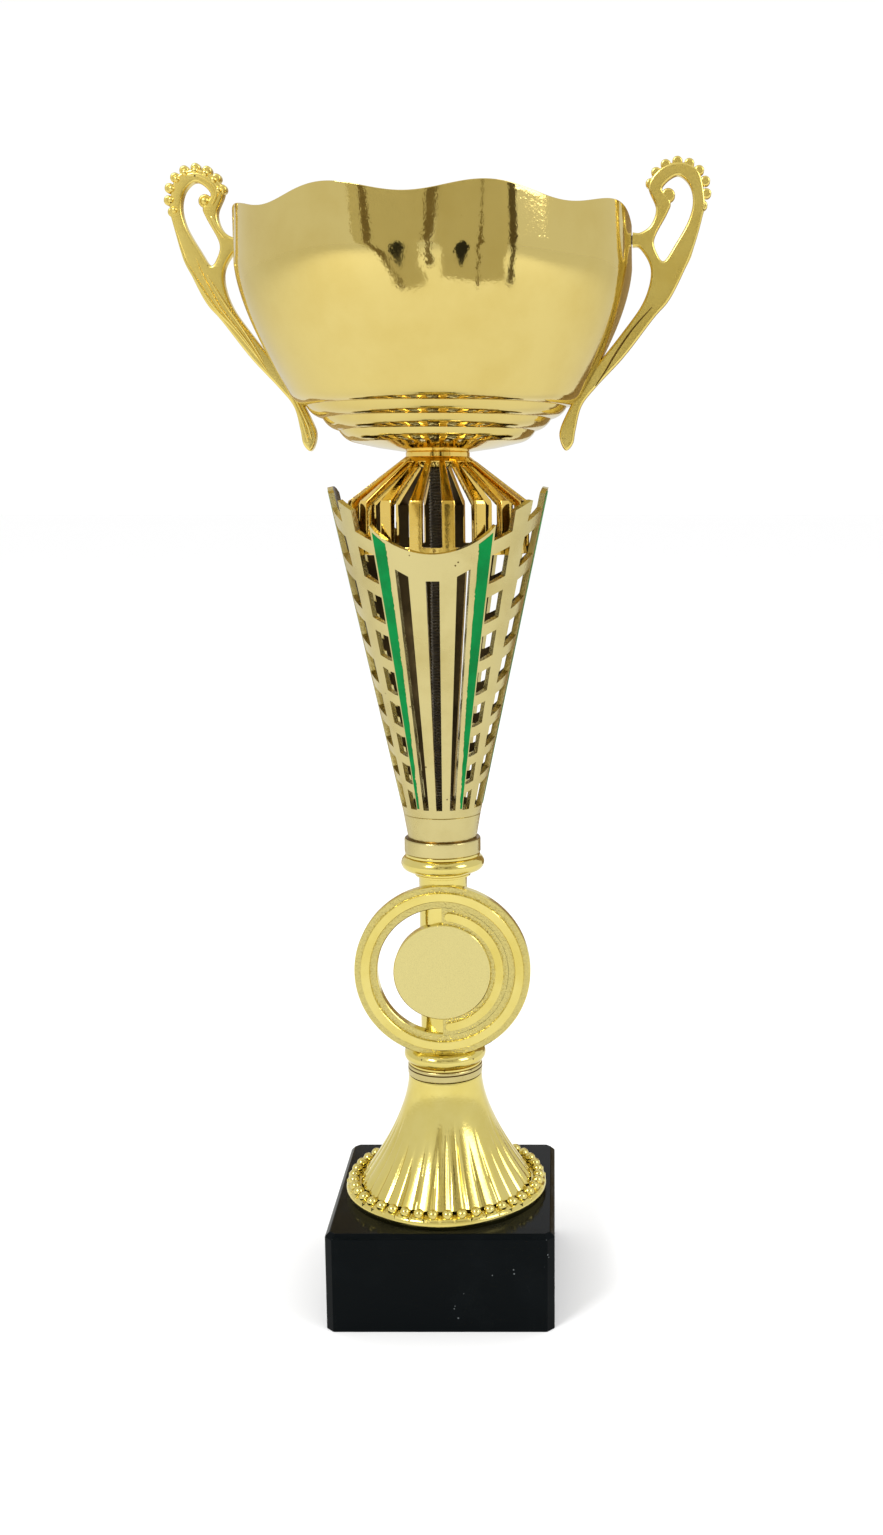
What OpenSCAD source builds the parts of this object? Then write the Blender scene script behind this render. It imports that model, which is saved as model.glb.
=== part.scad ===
// Cup trophy. A scalloped bowl with two scroll handles stands on a lattice cone, an emblem
// riser, a fluted foot and a stone plinth, and one threaded rod clamps the whole stack.
// Origin at the centre of the plinth's underside, +Z up, front towards -Y.

/* [Plinth] */
// Width and depth of the stone plinth
plinth_w = 60; // [50:1:90]
// Height of the stone plinth
plinth_h = 27; // [20:1:45]
// Chamfer round the top edge
plinth_bevel = 1.2; // [0.5:0.1:3]
// Chamfer on the four upright edges
plinth_corner = 2; // [1:0.5:5]
// Radius of the recess that hides the lower nut
recess_r = 9; // [8:0.5:14]
// Depth of the recess that hides the lower nut
recess_depth = 9; // [8:0.5:14]

/* [Foot] */
// Distance from the foot's round base plate to the plinth's edge
foot_margin = 2.4; // [1.5:0.1:6]
// Height of the foot
foot_h = 33.7; // [25:0.1:50]
// Height of the plain edge of the base plate
foot_plate_h = 3.5; // [2:0.1:5]
// Width of the ledge round the bell, which carries the beads
foot_ledge_w = 4.1; // [4:0.1:6]
// Radius of the bell's neck
foot_neck_r = 10; // [8:0.1:12]
// Wall thickness of the hollow bell
foot_wall = 2; // [1.2:0.1:3]
// Radius of one bead of the bead ring
bead_r = 1.5; // [1:0.1:2]
// Number of beads
bead_count = 42; // [24:1:48]

/* [Collars] */
// Outer radius of the two spacer collars
collar_r = 10.15; // [9:0.05:12]
// Height of the collar between foot and riser
lower_collar_h = 2.9; // [2:0.1:6]
// Height of the collar between riser and cone
upper_collar_h = 4; // [2:0.1:6]

/* [Emblem riser] */
// Height of the riser
riser_h = 58.8; // [54:0.1:72]
// Radius of the riser's round end faces
riser_end_r = 10; // [9:0.1:12]
// Outer radius of the rounded beads at both ends
riser_bead_r = 11.1; // [10.5:0.1:14]
// Height of one rounded bead
riser_bead_h = 4; // [3:0.1:6]
// Radius of the column behind the emblem ring
riser_column_r = 6.4; // [5:0.1:8]
// Outer radius of the emblem ring
ring_r = 23.5; // [21:0.1:25]
// Thickness of the emblem ring without its relief
ring_t = 3.2; // [2.5:0.1:4]
// Distance from the axis to the front of the relief
ring_front = 8; // [7:0.1:10]
// Height of the relief
relief_h = 0.8; // [0.3:0.1:1.2]
// Radius of the flat seat for a 25 mm emblem
emblem_r = 13; // [12.7:0.1:14]

/* [Lattice cone] */
// Height of the cone
cone_h = 91.9; // [75:0.1:120]
// Radius of the cone's foot
cone_foot_r = 9.1; // [8:0.1:11]
// Radius at the top of the plain collar
cone_neck_r = 10.3; // [9.5:0.1:13]
// Radius of the cone at its top
cone_top_r = 28.4; // [24:0.1:36]
// Height of the plain collar
cone_collar_h = 7; // [5:0.5:12]
// Wall thickness of the cone
cone_wall = 1.4; // [1:0.1:2]
// Rows of lattice windows
lattice_rows = 8; // [4:1:10]
// Rise of the lattice bars over their run
bar_slope = 0.42; // [0:0.01:0.5]
// Height of a bar as a share of one row
bar_share = 0.33; // [0.2:0.01:0.5]
// Depth of the hollow in the front panel's top edge
panel_dip = 7; // [4:0.5:10]
// Thickness of the enamel
enamel_t = 0.2; // [0.15:0.01:0.4]

/* [Crown] */
// Height of the part of the crown that stands above the cone's top edge
crown_rise = 9; // [6:0.1:14]
// Radius of the crown's neck
crown_neck_r = 8.2; // [7:0.1:10]
// Gap between the crown's skirt and the inner wall of the cone, above the seat
crown_gap = 0.45; // [0.2:0.05:1.5]
// Height of the crown's sloping part
crown_slope_h = 12.7; // [9:0.1:15]
// Height of the crown's upright skirt
crown_skirt_h = 13; // [10:0.1:16]
// Wall thickness of the crown
crown_wall = 1.5; // [1:0.1:2]
// Number of ribs
rib_count = 18; // [12:1:24]

/* [Bowl] */
// Radius of the bowl at its rim
bowl_r = 50; // [42:0.5:64]
// Height of the bowl to the tops of its lobes
bowl_h = 57.9; // [54:0.1:75]
// Height of the upright wall, from the bowl's shoulder to the tops of its lobes
upright_h = 13.2; // [11:0.1:18]
// Wall thickness of the bowl
bowl_wall = 0.8; // [0.6:0.1:1.2]
// Radius where the stepped rings end and the belly starts
belly_r = 37.2; // [32:0.1:39]
// Height where the stepped rings end and the belly starts
belly_h = 14.2; // [12:0.1:18]
// Radius where the stepped rings start
steps_r = 21; // [16:0.1:24]
// Number of stepped rings
step_count = 4; // [2:1:5]
// Number of lobes round the rim
lobe_count = 8; // [4:1:12]
// Depth of the hollows between the lobes
lobe_dip = 2.7; // [1:0.1:4]
// Angle by which the bowl and its handles are turned on the stack
bowl_turn = -4; // [-10:0.5:10]

/* [Handles] */
// Thickness of a handle
handle_t = 3; // [2.4:0.1:4]
// Distance of the upper fixing below the tops of the lobes
upper_fix_drop = 6.3; // [5.5:0.1:9]
// Place of the lower fixing along the belly curve
lower_fix_t = 0.08; // [0.05:0.01:0.2]
// Radius of the fixing studs cast on the handles
stud_r = 1.1; // [0.8:0.1:1.5]
// Radius of the push-on clips
clip_r = 2.8; // [2.2:0.1:3.5]
// Thickness of the push-on clips
clip_t = 0.7; // [0.5:0.1:1]

/* [Fasteners] */
// Radius of the threaded rod
rod_r = 2.5; // [2:0.5:3]
// Clearance round the rod
rod_gap = 0.3; // [0.2:0.05:0.6]
// Distance across the flats of the hexagon nuts
nut_af = 8; // [7:0.5:10]
// Height of the hexagon nuts
nut_h = 4; // [3:0.5:5]
// Radius of the washers
washer_r = 7.5; // [6:0.5:7.5]
// Thickness of the washers
washer_h = 1; // [0.8:0.1:1.6]

/* [Hidden] */
$fn = 96;
over = 1; // how far a cut runs past the face that it opens

// Heights of the stack, from the plinth upwards
foot_z = plinth_h;
lower_collar_z = foot_z + foot_h;
riser_z = lower_collar_z + lower_collar_h;
upper_collar_z = riser_z + riser_h;
cone_z = upper_collar_z + upper_collar_h;
cone_top_z = cone_z + cone_h;
bowl_z = cone_top_z + crown_rise;
rim_z = bowl_z + bowl_h;
bore_r = rod_r + rod_gap;

function lerp(a, b, t) = a + (b - a) * t;
function mix(p, q, t) = [lerp(p[0], q[0], t), lerp(p[1], q[1], t)];
function unit(v) = v / norm(v);
function left_of(v) = [-v[1], v[0]];
function reversed(list) = [for (i = [len(list) - 1 : -1 : 0]) list[i]];

// A point on the cubic curve with end points a, d and leads b, c
function curve(a, b, c, d, t) =
  a * pow(1 - t, 3) + b * 3 * t * pow(1 - t, 2) + c * 3 * t * t * (1 - t) + d * pow(t, 3);
function curve_way(a, b, c, d, t) =
  unit((b - a) * pow(1 - t, 2) + (c - b) * 2 * t * (1 - t) + (d - c) * t * t);

// A smooth closed line through the given points
function loop_point(p, i, t) =
  let (n = len(p), a = p[(i + n - 1) % n], b = p[i], c = p[(i + 1) % n], d = p[(i + 2) % n])
  0.5 * (b * 2 + (c - a) * t + (a * 2 - b * 5 + c * 4 - d) * t * t + (b * 3 - a - c * 3 + d) * pow(t, 3));
function smooth_loop(p, steps) =
  [for (i = [0 : len(p) - 1]) for (s = [0 : steps - 1]) loop_point(p, i, s / steps)];

// The same path moved sideways, to its left, by a distance
function path_way(path, i) = unit(path[min(i + 1, len(path) - 1)] - path[max(i - 1, 0)]);
function beside(path, d) = [for (i = [0 : len(path) - 1]) path[i] + left_of(path_way(path, i)) * d];

module rod_bore(z, h) translate([0, 0, z - over]) cylinder(r = bore_r, h = h + 2 * over);
module ring(outer, inner, h) difference() {
  cylinder(r = outer, h = h);
  translate([0, 0, -over]) cylinder(r = inner, h = h + 2 * over);
}
// Extrudes an outline, drawn as width and height, outwards from the axis at an angle from the front
module radial_cut(angle, reach) rotate([0, 0, angle]) rotate([90, 0, 0]) linear_extrude(height = reach) children();
module both_sides() {
  children();
  mirror([1, 0, 0]) children();
}
module front_and_back() {
  children();
  mirror([0, 1, 0]) children();
}

// ---- Plinth
module plinth_outline(w, corner) {
  s = w / 2;
  c = s - corner;
  polygon([[s, -c], [s, c], [c, s], [-c, s], [-s, c], [-s, -c], [-c, -s], [c, -s]]);
}
module plinth_bevel_cut() {
  side = plinth_w + 2 * over;
  b = plinth_bevel;
  for (turn = [0 : 90 : 270]) rotate([0, 0, turn]) translate([-side / 2, plinth_w / 2, plinth_h])
    rotate([90, 0, 90]) linear_extrude(height = side)
      polygon([[-b, 0], [0, -b], [over, -b], [over, over], [-b, over]]);
}
module plinth() color([0.05, 0.07, 0.09]) difference() {
  linear_extrude(height = plinth_h) plinth_outline(plinth_w, plinth_corner);
  plinth_bevel_cut();
  rod_bore(0, plinth_h);
  translate([0, 0, -over]) cylinder(r = recess_r, h = recess_depth + over);
}

// ---- Foot
flute_power = 1.65; // how quickly the bell flares
bell_steps = 14;
foot_r = plinth_w / 2 - foot_margin;
foot_skirt_r = foot_r - foot_ledge_w;
bead_margin = 0.6;
bead_line_r = foot_r - bead_r - bead_margin;
foot_top_t = 3;
function bell_r(t) = lerp(foot_neck_r, foot_skirt_r, pow(t, flute_power));
function bell_z(t) = lerp(foot_z + foot_h, foot_z + foot_plate_h, t);
bell = [for (i = [0 : bell_steps]) let (t = i / bell_steps) [bell_r(t), bell_z(t)]];
module foot() color("gold") {
  difference() {
    rotate_extrude() polygon(concat(
      [[0, foot_z + foot_h]], bell,
      [[foot_r, foot_z + foot_plate_h], [foot_r, foot_z], [0, foot_z]]));
    rotate_extrude() polygon(concat(
      [[0, foot_z + foot_h - foot_top_t]],
      [for (p = bell) if (p[1] < foot_z + foot_h - foot_top_t) [p[0] - foot_wall, p[1]]],
      [[foot_skirt_r - foot_wall, foot_z - over], [0, foot_z - over]]));
    rod_bore(foot_z, foot_h);
  }
  for (i = [0 : bead_count - 1]) rotate([0, 0, i * 360 / bead_count])
    translate([bead_line_r, 0, foot_z + foot_plate_h]) sphere(r = bead_r, $fn = 24);
}

// ---- Collars
collar_edge = 0.7;
module collar(z, h) difference() {
  rotate_extrude() polygon([
    [0, z], [collar_r - collar_edge, z], [collar_r, z + collar_edge],
    [collar_r, z + h - collar_edge], [collar_r - collar_edge, z + h], [0, z + h]]);
  rod_bore(z, h);
}
module lower_collar() color("palegoldenrod") collar(lower_collar_z, lower_collar_h);
module upper_collar() color("palegoldenrod") collar(upper_collar_z, upper_collar_h);

// ---- Emblem riser
riser_lip_h = 0.8;
riser_neck_r = 7.2;
riser_neck_h = 2;
emblem_rise = 27.4; // height of the emblem's centre above the riser's foot
emblem_z = riser_z + emblem_rise;
smooth_band = [19.4, 21.7];
open_arc = [emblem_r, 17.4];
raised_arc = [14.2, 16.3];
arc_gap = 0.5; // distance of the half ring's straight edge from the centre line
module riser_end() {
  bead_mid = riser_lip_h + riser_bead_h / 2;
  cylinder(r = riser_end_r, h = riser_lip_h);
  rotate_extrude() {
    translate([riser_bead_r - riser_bead_h / 2, bead_mid]) circle(d = riser_bead_h, $fn = 48);
    translate([0, riser_lip_h]) square([riser_bead_r - riser_bead_h / 2, riser_bead_h]);
  }
  translate([0, 0, riser_lip_h]) cylinder(r = riser_neck_r, h = riser_bead_h + riser_neck_h);
}
module band(radii, h) ring(radii[1], radii[0], h);
module right_half(h) translate([arc_gap, -ring_r, -over]) cube([ring_r, 2 * ring_r, h + 2 * over]);
module emblem_ring() translate([0, relief_h - ring_front, emblem_z]) rotate([90, 0, 0]) {
  translate([0, 0, -ring_t]) difference() {
    cylinder(r = ring_r, h = ring_t);
    difference() {
      translate([0, 0, -over]) band(open_arc, ring_t + 2 * over);
      translate([-2 * arc_gap, 0, -over]) right_half(ring_t + 2 * over);
    }
  }
  band(smooth_band, relief_h);
  cylinder(r = emblem_r, h = relief_h);
  intersection() {
    band(raised_arc, relief_h);
    right_half(relief_h);
  }
}
module medallion_riser() color("gold") difference() {
  union() {
    translate([0, 0, riser_z]) riser_end();
    translate([0, 0, riser_z + riser_h]) mirror([0, 0, 1]) riser_end();
    translate([0, 0, riser_z]) cylinder(r = riser_column_r, h = riser_h);
    emblem_ring();
  }
  rod_bore(riser_z, riser_h);
}

// ---- Lattice cone. Angles are measured from the middle of the front panel, each as [top, bottom].
panel_edge = [36.5, 33.5];
post_near = [49, 44.7];
post_far = [61.5, 55];
side_edge = [79, 77];
slot_edges = [4.15, 14.6, 22.7];
slot_drop = [6.6, 5.5, 3.7]; // how far the slots' tops lie below the hollow of the panel's top edge
stripe_inner = [26.4, 29.5];
stripe_outer = [35.3, 32.5];
side_stripe_edge = [82, 87];
row_ratio = 0.94; // height of a row over the one above it
cone_neck_z = cone_z + cone_collar_h;
floor_rise = 1; // height of the solid floor above the plain collar
sill_rise = 1; // height of the lowest windows above the floor
top_bar_drop = 13.1;
corner_rise = 3.8; // height of the panel's upper corners above the top bar
cone_floor_z = cone_neck_z + floor_rise;
lattice_foot_z = cone_floor_z + sill_rise;
top_bar_z = cone_top_z - top_bar_drop;
panel_corner_z = top_bar_z + corner_rise;
post_rise = 5;
enamel_lip = 0.9;
reach = cone_top_r + over;
function cone_r(z) = lerp(cone_neck_r, cone_top_r, (z - cone_neck_z) / (cone_top_z - cone_neck_z));
function angle_at(edge, z) = lerp(edge[1], edge[0], (z - lattice_foot_z) / (cone_top_z - lattice_foot_z));
function row_z(i) =
  top_bar_z - (top_bar_z - lattice_foot_z) * (1 - pow(row_ratio, i)) / (1 - pow(row_ratio, lattice_rows));
function window_top_z(i) = lerp(row_z(i), row_z(i + 1), bar_share);
function bar_rise(z, angle) = bar_slope * cone_r(z) * (angle - panel_edge[0]) * PI / 180;
function on_cone(edge, z, middle) = [cone_r(z) * sin(angle_at(edge, z) - middle), z];
function on_bar(edge, z, middle) = on_cone(edge, z + bar_rise(z, angle_at(edge, z)), middle);
function middle_of(a, b) = (a[0] + a[1] + b[0] + b[1]) / 4;

module lattice_column(a, b) {
  middle = middle_of(a, b);
  radial_cut(middle, reach) {
    for (i = [0 : lattice_rows - 1]) polygon([
      on_bar(a, window_top_z(i), middle), on_bar(b, window_top_z(i), middle),
      on_bar(b, row_z(i + 1), middle), on_bar(a, row_z(i + 1), middle)]);
    polygon([
      on_bar(a, top_bar_z, middle), on_bar(b, top_bar_z, middle),
      on_cone(b, cone_top_z + over, middle), on_cone(a, cone_top_z + over, middle)]);
  }
}
module post_top_cut() {
  middle = middle_of(post_near, post_far);
  radial_cut(middle, reach) polygon([
    on_bar(post_near, top_bar_z + post_rise, middle) - [over, bar_slope * over],
    on_bar(post_far, top_bar_z + post_rise, middle) + [over, bar_slope * over],
    on_cone(post_far, cone_top_z + over, middle) + [over, 0],
    on_cone(post_near, cone_top_z + over, middle) - [over, 0]]);
}
module panel_slots() {
  slot_top = [for (d = slot_drop) panel_corner_z - panel_dip - d];
  half = slot_edges[0];
  radial_cut(0, reach) polygon([
    on_cone([half, half], slot_top[0], 0), on_cone([half, half], lattice_foot_z, 0),
    on_cone([-half, -half], lattice_foot_z, 0), on_cone([-half, -half], slot_top[0], 0)]);
  inner = [slot_edges[1], slot_edges[1]];
  outer = [slot_edges[2], slot_edges[2]];
  middle = middle_of(inner, outer);
  both_sides() radial_cut(middle, reach) polygon([
    on_cone(inner, slot_top[1], middle), on_cone(outer, slot_top[2], middle),
    on_cone(outer, lattice_foot_z, middle), on_cone(inner, lattice_foot_z, middle)]);
}
// Round hollow across the cone that gives both panels their curved top edge
module panel_top_cut(margin) {
  half = cone_r(panel_corner_z) * sin(panel_edge[0]);
  cut_r = (half * half + panel_dip * panel_dip) / (2 * panel_dip);
  translate([0, reach, panel_corner_z - panel_dip + cut_r]) rotate([90, 0, 0])
    cylinder(r = cut_r + margin, h = 2 * reach);
}
module cone_shell() rotate_extrude() polygon([
  [0, cone_z], [cone_foot_r, cone_z], [cone_neck_r, cone_neck_z], [cone_top_r, cone_top_z],
  [cone_top_r - cone_wall, cone_top_z], [cone_r(cone_floor_z) - cone_wall, cone_floor_z], [0, cone_floor_z]]);
module lattice_cone() color("palegoldenrod") difference() {
  cone_shell();
  rod_bore(cone_z, cone_collar_h);
  panel_top_cut(0);
  front_and_back() {
    panel_slots();
    both_sides() {
      lattice_column(panel_edge, post_near);
      lattice_column(post_far, side_edge);
      post_top_cut();
    }
  }
}

// ---- Enamel stripes on the cone
module enamel_skin() rotate_extrude() polygon([
  [cone_neck_r, cone_neck_z], [cone_neck_r + enamel_t, cone_neck_z],
  [cone_top_r + enamel_t, cone_top_z], [cone_top_r, cone_top_z]]);
module stripe(inner, outer, top_z) {
  middle = middle_of(inner, outer);
  intersection() {
    enamel_skin();
    radial_cut(middle, reach + enamel_t) polygon([
      on_cone(inner, lattice_foot_z, middle), on_cone(outer, lattice_foot_z, middle),
      on_cone(outer, top_z, middle), on_cone(inner, top_z, middle)]);
  }
}
module panel_stripes() difference() {
  both_sides() stripe(stripe_inner, stripe_outer, panel_corner_z);
  panel_top_cut(enamel_lip);
}
module front_stripes() color("green") panel_stripes();
module back_stripes() color("green") mirror([0, 1, 0]) panel_stripes();
module side_stripes() color("green") both_sides()
  stripe(side_stripe_edge, [180 - side_stripe_edge[0], 180 - side_stripe_edge[1]], cone_top_z - enamel_lip);

// ---- Crown cap, whose skirt seats on the inner wall of the cone
crown_shoulder_z = bowl_z - crown_slope_h;
crown_foot_z = crown_shoulder_z - crown_skirt_h;
crown_seat_h = 2;
crown_neck_h = 1.2;
crown_hub_h = 4;
rib_start_r = 10.5;
rib_share = 0.5;
function cone_inside_r(z) = cone_r(z) - cone_wall;
crown_seat_z = crown_foot_z + crown_seat_h;
crown_shoulder_r = cone_inside_r(crown_seat_z) - crown_gap;
module crown_shell() rotate_extrude() polygon([
  [0, bowl_z], [crown_neck_r, bowl_z], [crown_neck_r, bowl_z - crown_neck_h],
  [crown_shoulder_r, crown_shoulder_z],
  [crown_shoulder_r, crown_seat_z],
  [cone_inside_r(crown_seat_z), crown_seat_z],
  [cone_inside_r(crown_foot_z), crown_foot_z],
  [crown_shoulder_r - crown_wall, crown_foot_z],
  [crown_shoulder_r - crown_wall, crown_shoulder_z - crown_wall / 2],
  [crown_neck_r, bowl_z - crown_hub_h], [0, bowl_z - crown_hub_h]]);
module crown_slot() {
  half = (1 - rib_share) * 180 / rib_count;
  far = crown_shoulder_r + over;
  translate([0, 0, crown_seat_z]) linear_extrude(height = crown_skirt_h + crown_slope_h) polygon([
    [rib_start_r, -rib_start_r * tan(half)], [far, -far * tan(half)],
    [far, far * tan(half)], [rib_start_r, rib_start_r * tan(half)]]);
}
module crown_cap() color("goldenrod") difference() {
  crown_shell();
  rod_bore(bowl_z - crown_hub_h, crown_hub_h);
  for (i = [0 : rib_count - 1]) rotate([0, 0, (i + 0.5) * 360 / rib_count]) crown_slot();
}

// ---- Bowl. Profile points are [radius, height above the bowl's base].
bowl_flat_r = 9;
steps_h = 2.2;
floor_mid = [(bowl_flat_r + steps_r) / 2, steps_h * 0.4];
shoulder_h = bowl_h - upright_h;
step_bulge = 1.1;
belly_lead = [4.3, 7.5];
shoulder_lead = [1, 10.5];
belly_points = 14;
belly_a = [belly_r, belly_h];
belly_b = belly_a + belly_lead;
belly_d = [bowl_r, shoulder_h];
belly_c = belly_d - shoulder_lead;
function belly(t) = curve(belly_a, belly_b, belly_c, belly_d, t);
function step_at(i) = mix([steps_r, steps_h], belly_a, i / step_count);
function step_points(i) =
  let (a = step_at(i), b = step_at(i + 1), peak = (a + b) / 2 - left_of(unit(b - a)) * step_bulge)
  [for (s = [0 : 3]) let (t = s / 4) a * pow(1 - t, 2) + peak * 2 * t * (1 - t) + b * t * t];
outside = concat(
  [[0, 0], [bowl_flat_r, 0], floor_mid],
  [for (i = [0 : step_count - 1]) each step_points(i)],
  [for (i = [0 : belly_points]) belly(i / belly_points)],
  [[bowl_r, bowl_h]]);
inside = [for (p = beside(outside, bowl_wall)) [max(p[0], 0), p[1]]];
lobe_half = bowl_r * sin(180 / lobe_count);
lobe_cut_r = (lobe_half * lobe_half + lobe_dip * lobe_dip) / (2 * lobe_dip);
upper_fix = [bowl_r, bowl_h - upper_fix_drop];
lower_fix = belly(lower_fix_t);
lower_way = curve_way(belly_a, belly_b, belly_c, belly_d, lower_fix_t);
lower_tilt = atan2(lower_way[0], lower_way[1]); // how far the wall leans out at the lower fixing
stud_gap = 0.2;
module bowl_solid() rotate_extrude($fn = 160) polygon(concat(outside, [[0, bowl_h]]));
module rim_cuts() for (i = [0 : lobe_count - 1]) rotate([0, 0, i * 360 / lobe_count])
  translate([0, 0, bowl_h - lobe_dip + lobe_cut_r]) rotate([0, 90, 0]) cylinder(r = lobe_cut_r, h = bowl_r + over);
// Places children, built along +Z, on the two fixing axes of the right handle, pointing into the bowl
module at_upper_fix() translate([upper_fix[0], 0, upper_fix[1]]) rotate([0, -90, 0]) children();
module at_lower_fix() translate([lower_fix[0], 0, lower_fix[1]]) rotate([0, lower_tilt - 90, 0]) children();
module at_fixings() {
  at_upper_fix() children();
  at_lower_fix() children();
}
module both_ends() for (turn = [0, 180]) rotate([0, 0, turn]) children();
// Stands children on the stack, turned as the bowl is
module on_stack(turn) translate([0, 0, bowl_z]) rotate([0, 0, bowl_turn + turn]) children();
module bowl() color("gold") on_stack(0) difference() {
  rotate_extrude($fn = 160) polygon(concat(outside, reversed(inside)));
  rim_cuts();
  rod_bore(0, bowl_wall);
  both_ends() at_fixings() translate([0, 0, -2 * over])
    cylinder(r = stud_r + stud_gap, h = bowl_wall + 4 * over);
}

// ---- Handles. The scroll is drawn from the upper fixing, the tail from the lower one, and the
// shaft between them as [share of the way down, distance out from the line of the fixings].
crest_mid = [10.6, 11.4];
crest_r = 7.2;
crest_tooth_r = 1.25;
crest_teeth = 9;
crest_from = -30;
crest_to = 165;
scroll_rise = [[17.3, 9], [16.8, 5.6], [14.6, -2.2]];
scroll_top = [
  [15.6, 16], [10.8, 18.2], [6, 16.6], [3.3, 12.6], [5.2, 7.4], [4, 3.4], [1.3, 1.6],
  [-1.5, 1.5], [-1.5, -1.6], [1.4, -2.2], [4.1, -7.4]];
shaft_inner = [[0.417, 7.3], [0.636, 4.45]];
shaft_outer = [[0.529, 11.2], [0.422, 13.35], [0.282, 14.5]];
tail = [
  [0.6, 3], [-2.2, 0.4], [-4.4, -4.6], [-6.7, -10.2], [-6.8, -13.4], [-5.4, -15.9],
  [-3.6, -14.2], [-2.9, -10.6], [-1.4, -4.8], [2.4, 0], [9.4, 7.4]];
scroll_eye = [
  [10.2, 15], [6.7, 12.1], [8.8, 8.9], [8, 6.2], [4.9, 0.2], [5.7, -3.6], [7.4, -5.2],
  [9.9, -1.6], [13.2, 4.2], [14.3, 9], [13.2, 13]];
curl_mid = [8.2, 10.4];
curl_r = 1.7;
function on_shaft(p) = mix(upper_fix, lower_fix, p[0]) + [p[1], 0];
handle_outline = concat(
  [for (p = scroll_top) upper_fix + p], [for (p = shaft_inner) on_shaft(p)],
  [for (p = tail) lower_fix + p], [for (p = shaft_outer) on_shaft(p)],
  [for (p = reversed(scroll_rise)) upper_fix + p]);
module handle_plate() rotate([90, 0, 0]) translate([0, 0, -handle_t / 2]) linear_extrude(height = handle_t) {
  difference() {
    polygon(smooth_loop(handle_outline, 4));
    polygon(smooth_loop([for (p = scroll_eye) upper_fix + p], 4));
  }
  for (i = [0 : crest_teeth - 1]) {
    turn = lerp(crest_from, crest_to, i / (crest_teeth - 1));
    translate(upper_fix + crest_mid + crest_r * [cos(turn), sin(turn)]) circle(r = crest_tooth_r, $fn = 24);
  }
  translate(upper_fix + curl_mid) circle(r = curl_r, $fn = 24);
}
stud_grip = 1; // length of stud inside the handle
stud_tip = 1.2; // length of stud past its clip
stud_end = bowl_wall + clip_t + stud_tip;
module handle() {
  difference() {
    handle_plate();
    bowl_solid();
  }
  at_fixings() translate([0, 0, -stud_grip]) cylinder(r = stud_r, h = stud_grip + stud_end);
}
module right_handle() color("darkgoldenrod") on_stack(0) handle();
module left_handle() color("darkgoldenrod") on_stack(180) handle();

// ---- Push-on clips on the studs, inside the bowl. They stand off by the hollow of the curved wall.
clip_slack = 0.05;
function hollow_of(r) = r - sqrt(r * r - clip_r * clip_r);
module clip(wall_r) translate([0, 0, bowl_wall + hollow_of(wall_r) + clip_slack]) ring(clip_r, stud_r, clip_t);
module handle_clips() {
  at_upper_fix() clip(bowl_r - bowl_wall);
  at_lower_fix() clip(lower_fix[0] - bowl_wall);
}
module right_handle_clips() color("silver") on_stack(0) handle_clips();
module left_handle_clips() color("silver") on_stack(180) handle_clips();

// ---- Rod, washers and nuts
base_washer_z = recess_depth - washer_h;
base_nut_z = base_washer_z - nut_h;
bowl_washer_z = bowl_z + bowl_wall;
bowl_nut_z = bowl_washer_z + washer_h;
rod_overrun = 1.5;
rod_z = base_nut_z - rod_overrun;
rod_top_z = bowl_nut_z + nut_h + rod_overrun;
rod_tip = 0.6;
module washer(z) translate([0, 0, z]) ring(washer_r, bore_r, washer_h);
module nut(z) translate([0, 0, z]) difference() {
  cylinder(r = nut_af / sqrt(3), h = nut_h, $fn = 6);
  translate([0, 0, -over]) cylinder(r = rod_r, h = nut_h + 2 * over);
}
module tie_rod() color("silver") rotate_extrude() polygon([
  [0, rod_z], [rod_r - rod_tip, rod_z], [rod_r, rod_z + rod_tip],
  [rod_r, rod_top_z - rod_tip], [rod_r - rod_tip, rod_top_z], [0, rod_top_z]]);
module base_washer() color("silver") washer(base_washer_z);
module base_nut() color("silver") nut(base_nut_z);
module bowl_washer() color("silver") washer(bowl_washer_z);
module bowl_nut() color("silver") nut(bowl_nut_z);

plinth();
foot();
lower_collar();
medallion_riser();
upper_collar();
lattice_cone();
front_stripes();
back_stripes();
side_stripes();
crown_cap();
bowl();
left_handle();
right_handle();
left_handle_clips();
right_handle_clips();
tie_rod();
base_washer();
base_nut();
bowl_washer();
bowl_nut();
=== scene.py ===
# %% [markdown]
# # A gold cup trophy
# The trophy is a stack of gold castings clamped by one long threaded rod: a marble plinth, a fluted
# foot, two collars, an emblem riser, a pierced cone, a ribbed crown and a bowl with scroll handles.
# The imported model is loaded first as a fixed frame. Each piece below is built in its place and
# stands for the plain solid there. All modelling is in millimetres, and MM brings it to metres.

# %% Load the frame
import math
import random

import bmesh
import bpy
from mathutils import Matrix, Vector, noise


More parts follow.
